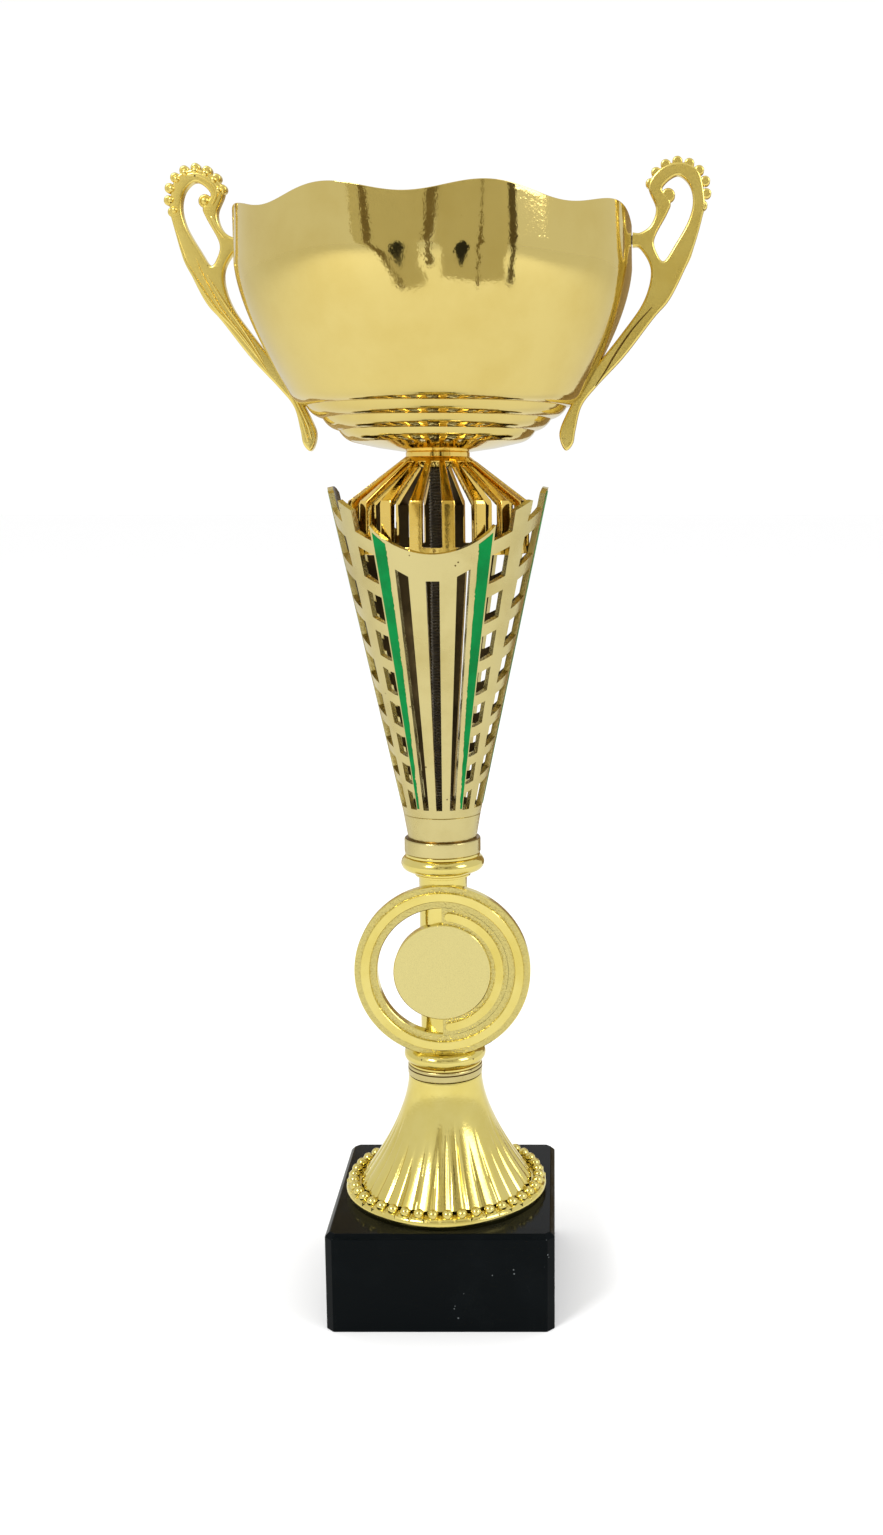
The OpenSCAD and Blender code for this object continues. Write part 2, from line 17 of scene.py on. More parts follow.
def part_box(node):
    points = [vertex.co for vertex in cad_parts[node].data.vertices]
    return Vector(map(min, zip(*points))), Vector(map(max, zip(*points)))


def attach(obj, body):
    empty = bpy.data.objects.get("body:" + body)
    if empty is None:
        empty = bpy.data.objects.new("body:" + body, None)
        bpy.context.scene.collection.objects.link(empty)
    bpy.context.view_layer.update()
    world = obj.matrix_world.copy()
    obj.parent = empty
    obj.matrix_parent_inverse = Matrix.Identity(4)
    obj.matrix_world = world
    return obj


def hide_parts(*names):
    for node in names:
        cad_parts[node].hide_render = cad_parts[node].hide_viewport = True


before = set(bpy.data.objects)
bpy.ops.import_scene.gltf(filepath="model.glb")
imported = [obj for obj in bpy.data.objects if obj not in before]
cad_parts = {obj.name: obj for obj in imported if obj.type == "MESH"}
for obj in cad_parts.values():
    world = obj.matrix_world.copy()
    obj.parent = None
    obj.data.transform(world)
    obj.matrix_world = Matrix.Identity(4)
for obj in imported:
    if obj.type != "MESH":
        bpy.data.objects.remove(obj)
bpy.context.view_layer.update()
MM = 0.001
WHOLE_TURN = math.tau


def foot_of(node):
    """Height of a node's lowest point, in millimetres."""
    return round(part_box(node)[0].z / MM, 3)


def top_of(node):
    """Height of a node's highest point, in millimetres."""
    return round(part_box(node)[1].z / MM, 3)


# %% [markdown]
# ## Camera
# A long lens flattens an object and a short one makes its near parts loom. The view is set from a
# little above the middle of the trophy and slightly to its right, tilted down by about ten degrees.
# Because the camera stands to the right and still looks straight ahead, a sideways lens shift
# brings the trophy back to the middle of the picture.

# %% Make the camera
CAMERA_PLACE = (0.030, -0.4127, 0.2157)
CAMERA_TILT = math.radians(90 - 9.71)
camera_data = bpy.data.cameras.new("camera")
camera_data.lens = 37.0
camera_data.sensor_width = 36.0
camera_data.shift_x = -0.0738
camera_data.clip_start = 0.01
camera_data.clip_end = 50
camera = bpy.data.objects.new("camera", camera_data)
camera.location = CAMERA_PLACE
camera.rotation_euler = (CAMERA_TILT, 0, 0)
bpy.context.scene.collection.objects.link(camera)
bpy.context.scene.camera = camera
print("camera at", CAMERA_PLACE)

# %% [markdown]
# ## Shared effects for the metal
# Polished plating is never perfect. Fingers and cloths leave cloudy marks that change how sharply
# it reflects, the casting under it ripples a little, and dust leaves tiny dark pits. Several
# finishes need the same effects at different strengths, so each effect is a shader node group:
# built once, then placed in every material with its own values. A group puts out plain values, and
# the shader itself stays in the material.

# %% Helper for node groups


def new_group(name, inputs, outputs):
    """A shader node group with float inputs (name, value) and outputs (name, type)."""
    group = bpy.data.node_groups.new(name, "ShaderNodeTree")
    for label, value in inputs:
        socket = group.interface.new_socket(label, in_out="INPUT", socket_type="NodeSocketFloat")
        socket.default_value = value
    for label, kind in outputs:
        group.interface.new_socket(label, in_out="OUTPUT", socket_type=kind)
    return group, group.nodes.new("NodeGroupInput"), group.nodes.new("NodeGroupOutput")


def object_noise(tree, scale, detail=3.0, roughness=0.5):
    """A noise texture on Object coordinates. scale is a number or a socket."""
    where = tree.nodes.new("ShaderNodeTexCoord")
    texture = tree.nodes.new("ShaderNodeTexNoise")
    texture.inputs["Detail"].default_value = detail
    texture.inputs["Roughness"].default_value = roughness
    tree.links.new(where.outputs["Object"], texture.inputs["Vector"])
    if isinstance(scale, (int, float)):
        texture.inputs["Scale"].default_value = scale
    else:
        tree.links.new(scale, texture.inputs["Scale"])
    return texture


def spread(tree, value, low, high, to_low=0.0, to_high=1.0):
    """Stretches a value so that low becomes to_low and high becomes to_high, held within them."""
    node = tree.nodes.new("ShaderNodeMapRange")
    node.clamp = True
    for label, number in (("From Min", low), ("From Max", high), ("To Min", to_low), ("To Max", to_high)):
        if isinstance(number, (int, float)):
            node.inputs[label].default_value = number
        else:
            tree.links.new(number, node.inputs[label])
    tree.links.new(value, node.inputs["Value"])
    return node.outputs["Result"]


def combine(tree, operation, first, second):
    """A Math node of two values, each a number or a socket."""
    node = tree.nodes.new("ShaderNodeMath")
    node.operation = operation
    for socket, value in zip(node.inputs, (first, second)):
        if isinstance(value, (int, float)):
            socket.default_value = value
        else:
            tree.links.new(value, socket)
    return node.outputs["Value"]


# %% Cloudy marks in the polish
cloudy, cloudy_in, cloudy_out = new_group(
    "cloudy_polish",
    [("Scale", 60.0), ("Clear", 0.06), ("Cloudy", 0.2)],
    [("Roughness", "NodeSocketFloat"), ("Mask", "NodeSocketFloat")],
)
broad = object_noise(cloudy, cloudy_in.outputs["Scale"], detail=4.0, roughness=0.6)
mask = spread(cloudy, broad.outputs["Fac"], 0.42, 0.68)
cloudy.links.new(mask, cloudy_out.inputs["Mask"])
rough = spread(cloudy, mask, 0.0, 1.0, cloudy_in.outputs["Clear"], cloudy_in.outputs["Cloudy"])
cloudy.links.new(rough, cloudy_out.inputs["Roughness"])
print("group", cloudy.name)

# %% Ripples and grain in the surface
skin, skin_in, skin_out = new_group(
    "casting_skin",
    [("Ripple scale", 40.0), ("Ripple", 0.1), ("Grain scale", 900.0), ("Grain", 0.05)],
    [("Height", "NodeSocketFloat")],
)
ripple = object_noise(skin, skin_in.outputs["Ripple scale"], detail=1.5)
grain = object_noise(skin, skin_in.outputs["Grain scale"], detail=2.0)
ripple_part = combine(skin, "MULTIPLY", ripple.outputs["Fac"], skin_in.outputs["Ripple"])
grain_part = combine(skin, "MULTIPLY", grain.outputs["Fac"], skin_in.outputs["Grain"])
skin.links.new(combine(skin, "ADD", ripple_part, grain_part), skin_out.inputs["Height"])
print("group", skin.name)

# %% Small dark pits
pits, pits_in, pits_out = new_group(
    "dark_pits", [("Scale", 220.0), ("Size", 0.1)], [("Mask", "NodeSocketFloat")]
)
pit_place = pits.nodes.new("ShaderNodeTexCoord")
pit_cells = pits.nodes.new("ShaderNodeTexVoronoi")
pits.links.new(pit_place.outputs["Object"], pit_cells.inputs["Vector"])
pits.links.new(pits_in.outputs["Scale"], pit_cells.inputs["Scale"])
pit_spot = combine(pits, "LESS_THAN", pit_cells.outputs["Distance"], pits_in.outputs["Size"])
pit_chance = object_noise(pits, 35.0, detail=1.0)
pit_zone = combine(pits, "GREATER_THAN", pit_chance.outputs["Fac"], 0.56)
pits.links.new(combine(pits, "MULTIPLY", pit_spot, pit_zone), pits_out.inputs["Mask"])
print("group", pits.name)

# %% [markdown]
# ## Gold finishes
# All the gold is a mirror: a fully metallic shader whose base colour is the colour of its
# reflections. The finishes differ in tint and in how much they blur. Thin plating tarnishes in
# hollows, so every finish mixes towards a deeper tone in the cloudy areas, and the pits go brown.
# Two dark finishes are painted shade, for places where shade falls: one on the insides of the cone and
# the crown, and one in thin grooves.

# %% Gold material


def place_group(tree, group, **values):
    """A group node with its inputs set. Underscores in names stand for spaces."""
    node = tree.nodes.new("ShaderNodeGroup")
    node.node_tree = group
    for label, value in values.items():
        node.inputs[label.replace("_", " ")].default_value = value
    return node


def mix_colours(tree, factor, first, second):
    """A colour mix. Each side is an RGB triple or a socket."""
    node = tree.nodes.new("ShaderNodeMix")
    node.data_type = "RGBA"
    tree.links.new(factor, node.inputs[0])
    for socket, value in ((node.inputs[6], first), (node.inputs[7], second)):
        if isinstance(value, tuple):
            socket.default_value = (*value, 1.0)
        else:
            tree.links.new(value, socket)
    return node.outputs[2]


def new_material(name):
    """An empty node material with its shader, returned as (material, tree, shader)."""
    material = bpy.data.materials.new(name)
    material.use_nodes = True
    return material, material.node_tree, material.node_tree.nodes["Principled BSDF"]


def bump(tree, shader, height, distance, strength=1.0):
    """Feeds a height to the shader's normal."""
    node = tree.nodes.new("ShaderNodeBump")
    node.inputs["Distance"].default_value = distance
    node.inputs["Strength"].default_value = strength
    tree.links.new(height, node.inputs["Height"])
    tree.links.new(node.outputs["Normal"], shader.inputs["Normal"])
    return node


def gold(name, bright, deep, clear, cloudy_to, ripple=0.1, ripple_scale=40.0, grain=0.05, relief=0.0004,
         pit_size=0.06):
    """A gold finish. clear and cloudy_to are its two roughnesses."""
    material, tree, shader = new_material(name)
    shader.inputs["Metallic"].default_value = 1.0
    marks = place_group(tree, cloudy, Scale=60.0, Clear=clear, Cloudy=cloudy_to)
    specks = place_group(tree, pits, Scale=260.0, Size=pit_size)
    tone = mix_colours(tree, marks.outputs["Mask"], bright, deep)
    tone = mix_colours(tree, specks.outputs["Mask"], tone, PIT_BROWN)
    tree.links.new(tone, shader.inputs["Base Color"])
    tree.links.new(marks.outputs["Roughness"], shader.inputs["Roughness"])
    surface = place_group(
        tree, skin, Ripple_scale=ripple_scale, Ripple=ripple, Grain_scale=1400.0, Grain=grain
    )
    bump(tree, shader, surface.outputs["Height"], relief)
    return material


PIT_BROWN = (0.12, 0.07, 0.02)
gold_casting = gold("gold_casting", (0.78, 0.66, 0.215), (0.71, 0.58, 0.15), 0.12, 0.22)
pale_gold = gold("pale_gold", (0.63, 0.54, 0.245), (0.55, 0.455, 0.185), 0.2, 0.34, grain=0.12)
amber_gold = gold("amber_gold", (0.92, 0.66, 0.17), (0.82, 0.54, 0.10), 0.07, 0.16)
gold_bowl = gold("gold_bowl", (0.72, 0.575, 0.20), (0.68, 0.53, 0.17), 0.05, 0.12, grain=0.03, pit_size=0.02)
handle_gold = gold(
    "handle_gold", (0.86, 0.69, 0.21), (0.76, 0.58, 0.14), 0.2, 0.3, ripple_scale=20.0, grain=0.0
)
# Painted shade: a near-black gold for the insides of the cone and the crown, where shade falls.
painted_inner_shade = gold("painted_inner_shade", (0.10, 0.07, 0.03), (0.05, 0.035, 0.015), 0.3, 0.5)
# Painted shade: a dark gold laid in thin grooves and on rolled edges, and as the handle's thin back line.
painted_seam_shade = gold("painted_seam_shade", (0.22, 0.13, 0.03), (0.12, 0.07, 0.015), 0.3, 0.5)
print("gold finishes made")

# %% [markdown]
# The emblem ring has two more finishes in the same gold. Its sunk bands are stippled so that the
# smooth raised bands stand out, and the disc for the emblem has a fine satin face.

# %% Stippled and satin gold


def stippled_gold(name, bright, scale, relief, roughness):
    """Gold covered in fine dents, from a cell texture fed to the bump."""
    material, tree, shader = new_material(name)
    shader.inputs["Metallic"].default_value = 1.0
    shader.inputs["Roughness"].default_value = roughness
    where = tree.nodes.new("ShaderNodeTexCoord")
    cells = tree.nodes.new("ShaderNodeTexVoronoi")
    cells.feature = "SMOOTH_F1"
    cells.inputs["Scale"].default_value = scale
    tree.links.new(where.outputs["Object"], cells.inputs["Vector"])
    hollow = spread(tree, cells.outputs["Distance"], 0.1, 0.7)
    colour = mix_colours(tree, hollow, bright, tuple(c * 0.84 for c in bright))
    tree.links.new(colour, shader.inputs["Base Color"])
    bump(tree, shader, hollow, relief)
    return material


stipple = stippled_gold("gold_stipple", (0.72, 0.61, 0.215), 2600.0, 0.00012, 0.28)
satin = stippled_gold("gold_satin", (0.78, 0.68, 0.28), 5200.0, 0.00003, 0.3)
print("emblem finishes made")

# %% [markdown]
# ## Steel, enamel and stone
# The rod, nuts, washers and clips are zinc-plated steel. It is toned dark, because the rod is seen
# in the shade, through the slots of the cone and the crown. The enamel is a green paint brushed on
# by hand, so its tone varies. The plinth is near-black marble with a polished face, faint cloudy
# veins, a few pale specks, and scuffs that dull its gloss.

# %% Steel
steel, steel_tree, steel_shader = new_material("zinc_steel")
steel_shader.inputs["Metallic"].default_value = 1.0
steel_marks = place_group(steel_tree, cloudy, Scale=300.0, Clear=0.25, Cloudy=0.45)
steel_tone = mix_colours(steel_tree, steel_marks.outputs["Mask"], (0.22, 0.19, 0.14), (0.12, 0.10, 0.075))
steel_tree.links.new(steel_tone, steel_shader.inputs["Base Color"])
steel_tree.links.new(steel_marks.outputs["Roughness"], steel_shader.inputs["Roughness"])
steel_skin = place_group(steel_tree, skin, Ripple=0.05, Grain_scale=2500.0, Grain=0.1)
bump(steel_tree, steel_shader, steel_skin.outputs["Height"], 0.0002)

# %% Green enamel
enamel, enamel_tree, enamel_shader = new_material("green_enamel")
enamel_marks = place_group(enamel_tree, cloudy, Scale=160.0, Clear=0.16, Cloudy=0.3)
enamel_tone = mix_colours(enamel_tree, enamel_marks.outputs["Mask"], (0.0, 0.195, 0.04), (0.0, 0.14, 0.028))
enamel_tree.links.new(enamel_tone, enamel_shader.inputs["Base Color"])
enamel_tree.links.new(enamel_marks.outputs["Roughness"], enamel_shader.inputs["Roughness"])
enamel_shader.inputs["Specular IOR Level"].default_value = 0.08
enamel_shader.inputs["Coat Weight"].default_value = 0.04
enamel_shader.inputs["Coat Roughness"].default_value = 0.08
enamel_skin = place_group(enamel_tree, skin, Ripple_scale=300.0, Ripple=0.4, Grain=0.02)
bump(enamel_tree, enamel_shader, enamel_skin.outputs["Height"], 0.00015)

# %% Black marble
marble, marble_tree, marble_shader = new_material("black_marble")
vein_noise = object_noise(marble_tree, 45.0, detail=6.0, roughness=0.65)
vein_mask = spread(marble_tree, vein_noise.outputs["Fac"], 0.52, 0.75)
marble_tone = mix_colours(marble_tree, vein_mask, (0.0012, 0.0022, 0.0027), (0.0024, 0.0038, 0.0045))
marble_cells = marble_tree.nodes.new("ShaderNodeTexVoronoi")
marble_cells.inputs["Scale"].default_value = 420.0
marble_place = marble_tree.nodes.new("ShaderNodeTexCoord")
marble_tree.links.new(marble_place.outputs["Object"], marble_cells.inputs["Vector"])
speck_spot = combine(marble_tree, "LESS_THAN", marble_cells.outputs["Distance"], 0.09)
speck_zone = object_noise(marble_tree, 28.0, detail=2.0)
speck_here = combine(marble_tree, "GREATER_THAN", speck_zone.outputs["Fac"], 0.60)
speck_mask = combine(marble_tree, "MULTIPLY", speck_spot, speck_here)
marble_tone = mix_colours(marble_tree, speck_mask, marble_tone, (0.10, 0.11, 0.11))
marble_tree.links.new(marble_tone, marble_shader.inputs["Base Color"])
marble_shader.inputs["Specular IOR Level"].default_value = 0.06
marble_marks = place_group(marble_tree, cloudy, Scale=90.0, Clear=0.12, Cloudy=0.3)
marble_tree.links.new(marble_marks.outputs["Roughness"], marble_shader.inputs["Roughness"])
marble_skin = place_group(marble_tree, skin, Ripple_scale=110.0, Ripple=0.06, Grain_scale=700.0, Grain=0.03)
bump(marble_tree, marble_shader, marble_skin.outputs["Height"], 0.0002)
print("steel, enamel and marble made")

# %% [markdown]
# ## Tools for the shapes
# Nearly every piece is turned or swept, so a few helpers do most of the work: `lathe` spins a
# profile once round the axis, `soften` bevels the sharp edges so that they catch the light, `arc`
# gives points on a circle, and `thicken` gives an open shell its wall. `darken_seams` and
# `shade_inside` paint shade: they give a second, darker material to grooves, rolled edges and the insides of
# hollow castings.
# `finish` turns the bmesh into an object that rides on the trophy's body and stands for its plain
# solids.

# %% Helpers for the shapes
SHARP = math.radians(30)


def lathe(bm, profile, steps=128, closed=False):
    """Spins a profile of (radius, height) points once round the vertical axis."""
    verts = [bm.verts.new((radius, 0, height)) for radius, height in profile]
    pairs = list(zip(verts, verts[1:]))
    if closed:
        pairs.append((verts[-1], verts[0]))
    edges = [bm.edges.new(pair) for pair in pairs]
    spun = bmesh.ops.spin(
        bm, geom=verts + edges, cent=(0, 0, 0), axis=(0, 0, 1), angle=WHOLE_TURN, steps=steps, use_merge=True
    )
    return spun


def close_seams(bm):
    """Merges doubles and turns the faces outwards."""
    bmesh.ops.remove_doubles(bm, verts=bm.verts, dist=0.002)
    bmesh.ops.dissolve_degenerate(bm, dist=0.001, edges=bm.edges)
    bmesh.ops.recalc_face_normals(bm, faces=bm.faces)


def soften(bm, width, segments=2, angle=SHARP):
    """Bevels the edges that are sharper than an angle."""
    sharp = [edge for edge in bm.edges if edge.is_manifold and edge.calc_face_angle() > angle]
    bmesh.ops.bevel(
        bm, geom=sharp, offset=width, offset_type="OFFSET", segments=segments, profile=0.5,
        affect="EDGES", clamp_overlap=True, material=-1,
    )


def arc(middle, radius, start, end, steps):
    """Points on an arc in a profile, angles in degrees."""
    turns = [math.radians(start + (end - start) * i / steps) for i in range(steps + 1)]
    return [(middle[0] + radius * math.cos(t), middle[1] + radius * math.sin(t)) for t in turns]


def thicken(bm, wall):
    """Gives an open shell round the axis its wall, inwards, with the outer faces looking outwards."""
    bmesh.ops.recalc_face_normals(bm, faces=bm.faces)
    outward = sum(f.normal.dot(f.calc_center_median() * Vector((1, 1, 0))) * f.calc_area() for f in bm.faces)
    if outward < 0:
        bmesh.ops.reverse_faces(bm, faces=bm.faces)
    bmesh.ops.solidify(bm, geom=bm.faces[:], thickness=wall)


def add_to(bm, other):
    """Moves another bmesh's geometry into this one."""
    mesh = bpy.data.meshes.new("part")
    other.to_mesh(mesh)
    other.free()
    bm.from_mesh(mesh)
    bpy.data.meshes.remove(mesh)


def darken_seams(bm, radius):
    """Gives the second material, a painted shade, to the faces that lie in a groove or a rolled edge of a
    ring.
    """
    for face in bm.faces:
        if all(math.hypot(v.co.x, v.co.y) < radius + 0.13 for v in face.verts):
            if math.hypot(*face.calc_center_median().xy) < radius:
                face.material_index = 1


def shade_inside(bm):
    """Gives the second material, a painted shade, to the faces of a shell that look towards its axis."""
    bm.normal_update()
    for face in bm.faces:
        outward = face.calc_center_median() * Vector((1, 1, 0))
        if outward.length > 0 and face.normal.dot(outward.normalized()) < -0.5:
            face.material_index = 1


def finish(name, bm, materials, slot, *nodes):
    """Makes the object in metres, shaded smooth up to its sharp edges, on the trophy's body.
    Weighted normals keep the broad flat faces flat beside their narrow bevels."""
    bmesh.ops.transform(bm, matrix=Matrix.Scale(MM, 4), verts=bm.verts)
    for face in bm.faces:
        face.smooth = True
    for edge in bm.edges:
        edge.smooth = not (edge.is_manifold and edge.calc_face_angle() > SHARP)
    mesh = bpy.data.meshes.new(name)
    bm.to_mesh(mesh)
    bm.free()
    for material in materials:
        mesh.materials.append(material)
    piece = bpy.data.objects.new(name, mesh)
    bpy.context.scene.collection.objects.link(piece)
    weighted = piece.modifiers.new("weighted_normals", "WEIGHTED_NORMAL")
    weighted.keep_sharp = True
    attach(piece, "root")
    if nodes:
        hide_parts(*nodes)
    print(f"{name}: {len(mesh.polygons)} faces")
    return piece


def lerp(a, b, t):
    """The value a share t of the way from a to b."""
    return a + (b - a) * t


def ease(t):
    """A smooth step from 0 to 1."""
    t = min(max(t, 0.0), 1.0)
    return t * t * (3 - 2 * t)


# %% [markdown]
# ## Plinth
# The plinth is a square block of marble, sawn and polished, with flat chamfers on its top edges
# and upright corners. A recess under it hides the lower nut. A cube is bevelled twice with one
# segment for the chamfers, then once more with two tiny segments, because even a ground stone edge
# is a little round. The top and bottom faces are opened and bridged to the bore and the recess.

# %% Plinth
PLINTH_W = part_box("plinth")[1].x / MM * 2
PLINTH_TOP = top_of("plinth")
CORNER_CHAMFER = 2.0
TOP_CHAMFER = 1.2
RECESS_R = 9.0
RECESS_H = 9.0
BORE_R = 2.8


def bevel_where(bm, test, width, segments=1):
    """Bevels the edges for which a test of their middle and direction holds."""
    chosen = []
    for edge in bm.edges:
        a, b = (v.co for v in edge.verts)
        if test((a + b) / 2, (b - a).normalized()):
            chosen.append(edge)
    bmesh.ops.bevel(
        bm, geom=chosen, offset=width, offset_type="OFFSET", segments=segments, profile=0.5,
        affect="EDGES", clamp_overlap=True, material=-1,
    )


def plinth():
    """The stone block with its recess and bore."""
    bm = bmesh.new()
    bmesh.ops.create_cube(bm, size=1.0)
    bmesh.ops.scale(bm, vec=(PLINTH_W, PLINTH_W, PLINTH_TOP), verts=bm.verts)
    bmesh.ops.translate(bm, vec=(0, 0, PLINTH_TOP / 2), verts=bm.verts)
    bevel_where(bm, lambda middle, way: abs(way.z) > 0.9, CORNER_CHAMFER)
    bevel_where(bm, lambda middle, way: middle.z > PLINTH_TOP - 0.1, TOP_CHAMFER)
    soften(bm, 0.22)
    for level, radius in ((0.0, RECESS_R), (PLINTH_TOP, BORE_R)):
        at_level = [f for f in bm.faces if abs(f.calc_center_median().z - level) < 0.01]
        flat = [f for f in at_level if abs(f.normal.z) > 0.99]
        rim = [e for e in bm.edges if sum(f in flat for f in e.link_faces) == 1]
        bmesh.ops.delete(bm, geom=flat, context="FACES_ONLY")
        ring_at = Matrix.Translation((0, 0, level))
        ring = bmesh.ops.create_circle(bm, segments=48, radius=radius, matrix=ring_at)
        ring_edges = list({e for v in ring["verts"] for e in v.link_edges})
        bmesh.ops.bridge_loops(bm, edges=rim + ring_edges)
    lathe(bm, [(RECESS_R, 0), (RECESS_R, RECESS_H), (BORE_R, RECESS_H), (BORE_R, PLINTH_TOP)], steps=48)
    close_seams(bm)
    return finish("marble_plinth", bm, [marble], "stone", "plinth")


plinth()

# %% [markdown]
# ## Foot
# The foot is a bell whose fine flutes fade out towards its neck, on a round plate with a ring of
# beads and a dart between each pair. The bell's curve is spun with many steps, and each point is
# then drawn in or out by a wave round the axis, which is quicker and smoother than cutting grooves.

# %% Foot sizes
FOOT_Z = foot_of("foot")
FOOT_TOP = top_of("foot")
FOOT_R = 27.6
PLATE_H = 3.5
SKIRT_R = 23.5
NECK_R = 10.0
FLUTES = 32
FLUTE_DEPTH = 0.5
BEADS = 42
BEAD_R = 1.5
BEAD_LINE_R = 25.5
DART_R = 1.6
DART_H = 1.2
DART_LEAN = math.radians(50)
PLATE_ROUND = 1.6


def bell_radius(share):
    """Radius of the bell, from its neck (0) to its skirt (1)."""
    return lerp(NECK_R, SKIRT_R, share ** 1.65)


def flute(turn, share, depths):
    """How far the surface is drawn in at a turn round the bell: a narrow groove between pleats."""
    place = turn / WHOLE_TURN * FLUTES
    off_groove = abs(place % 1 - 0.5)
    groove = math.exp(-(off_groove / 0.13) ** 2) + 0.45 * (1 - 2 * off_groove) ** 2
    depth, start = depths[int(place) % FLUTES]
    return groove * FLUTE_DEPTH * depth * ease((share - start) / 0.6)


# %% Foot
def foot():
    """The fluted bell, its plate, beads and darts."""
    bm = bmesh.new()
    rows = 44
    bell_foot = FOOT_Z + PLATE_H
    outer = [(bell_radius(i / rows), lerp(FOOT_TOP - 0.5, bell_foot, i / rows)) for i in range(rows + 1)]
    top = [(BORE_R, FOOT_TOP), (NECK_R - 0.5, FOOT_TOP), (NECK_R - 0.1, FOOT_TOP - 0.2)]
    lathe(bm, top + outer, FLUTES * 16)
    close_seams(bm)
    random.seed(7)
    depths = [(random.uniform(0.45, 1.0), random.uniform(0.12, 0.5)) for _ in range(FLUTES)]
    for vert in bm.verts:
        radius = math.hypot(vert.co.x, vert.co.y)
        share = (FOOT_TOP - 0.5 - vert.co.z) / (FOOT_TOP - 0.5 - bell_foot)
        if share > 0:
            turn = math.atan2(vert.co.y, vert.co.x) % WHOLE_TURN
            factor = (radius - flute(turn, share, depths)) / radius
            vert.co.x *= factor
            vert.co.y *= factor
    plate = [(SKIRT_R - 2, bell_foot - 0.6), (FOOT_R - PLATE_ROUND, bell_foot - 0.6)]
    plate += arc((FOOT_R - PLATE_ROUND, FOOT_Z + 1.5), PLATE_ROUND, 80, -25, 8)
    plate += [(FOOT_R - 0.4, FOOT_Z), (SKIRT_R - 2, FOOT_Z)]
    lathe(bm, plate, BEADS * 4, closed=True)
    beads = bmesh.new()
    for i in range(BEADS):
        turn = Matrix.Rotation(WHOLE_TURN * i / BEADS, 4, "Z")
        bead_at = turn @ Matrix.Translation((BEAD_LINE_R, 0, bell_foot))
        bmesh.ops.create_uvsphere(beads, u_segments=14, v_segments=10, radius=BEAD_R, matrix=bead_at)
        half = Matrix.Rotation(WHOLE_TURN * (i + 0.5) / BEADS, 4, "Z")
        lean = Matrix.Rotation(DART_LEAN, 4, "Y")
        dart_at = half @ Matrix.Translation((FOOT_R - 0.6, 0, bell_foot - 0.8)) @ lean
        bmesh.ops.create_cone(
            beads, cap_ends=True, segments=4, radius1=DART_R, radius2=0.0, depth=DART_H, matrix=dart_at
        )
    add_to(bm, beads)
    close_seams(bm)
    return finish("fluted_foot", bm, [gold_casting], "gold_casting", "foot")


foot()

# %% [markdown]
# ## Collars
# Two short rings space the stack out. They are turned parts, so their profiles carry the fine
# grooves and rolled edges of the real ones, and one closed profile spun once gives a solid ring.

# %% Collars
COLLAR_R = 10.15


def collar(name, node, grooves):
    """A ring with rolled edges and a thin groove at each given share of its height."""
    low, high = foot_of(node), top_of(node)
    edge, groove_w, groove_h = 0.4, 0.25, 0.2
    profile = [(BORE_R, low), (COLLAR_R - edge, low)] + arc((COLLAR_R - edge, low + edge), edge, -80, 0, 3)
    for share in grooves:
        level = lerp(low, high, share)
        profile += [
            (COLLAR_R, level - groove_h), (COLLAR_R - groove_w, level - groove_h / 3),
            (COLLAR_R - groove_w, level + groove_h / 3), (COLLAR_R, level + groove_h),
        ]
    profile += arc((COLLAR_R - edge, high - edge), edge, 0, 80, 3) + [(COLLAR_R - edge, high), (BORE_R, high)]
    bm = bmesh.new()
    lathe(bm, profile, 128, closed=True)
    close_seams(bm)
    # The grooves and rolled edges get the painted shade.
    darken_seams(bm, COLLAR_R - 0.12)
    return finish(name, bm, [pale_gold, painted_seam_shade], "pale_gold", node)


collar("lower_spacer", "lower_collar", (0.68,))
collar("upper_spacer", "upper_collar", ())

# %% [markdown]
# ## Emblem riser
# A turned column carries a flat ring with an emblem seat. The column's ends, with their lips, fat
# beads and stepped necks, are one profile spun once. The ring is built lying down, with its face
# upwards, from spun bands, and is then stood up in front of the column.

# %% Column of the riser
RISER_Z = foot_of("medallion_riser")
RISER_TOP = top_of("medallion_riser")
LIP_R = 10.0
LIP_H = 0.8
BEAD_OUT_R = 11.1
BEAD_H = 4.0
COLUMN_R = 6.4


def riser_end(base, way):
    """Profile of one end, from its face inwards. way is 1 at the foot and -1 at the top."""
    middle = base + way * (LIP_H + BEAD_H / 2)
    points = [(LIP_R - 0.2, 0), (LIP_R, 0.25), (LIP_R, LIP_H - 0.1)]
    profile = [(radius, base + way * h) for radius, h in points]
    round_edge = arc((BEAD_OUT_R - BEAD_H / 2, 0), BEAD_H / 2, -80, 80, 14)
    profile += [(x, middle + way * y) for x, y in round_edge]
    neck = LIP_H + BEAD_H
    steps = [(7.5, 0.05), (7.5, 0.5), (7.15, 0.6), (7.15, 0.95), (7.4, 1.05), (7.4, 1.5), (COLUMN_R, 1.9)]
    return profile + [(radius, base + way * (neck + h)) for radius, h in steps]


def column(bm):
    """The turned column with both its ends."""
    lower = riser_end(RISER_Z, 1)
    upper = riser_end(RISER_TOP, -1)
    profile = [(BORE_R, RISER_Z)] + lower + upper[::-1] + [(BORE_R, RISER_TOP)]
    lathe(bm, profile, 128, closed=True)


# %% [markdown]
# The bands of the ring are sunk and raised by the same small relief. The left half is cut through
# as a crescent window beside the disc, and the right half holds a raised half ring with round
# ends. A half ring is a short edge spun part of a turn, and its round ends are half-discs spun from
# half of that edge; the flat shape is then extruded.

# %% Emblem ring
RING_R = 23.5
RING_T = 3.2
RELIEF = 0.8
DISC_R = 13.0
SMOOTH_BAND = (19.4, 21.7)
WINDOW_R = 17.4
HALF_BAND = (14.2, 16.3)
HALF_BAND_SWEEP = 83.0
EMBLEM_Z = RISER_Z + 27.4
RING_FRONT = -8.0


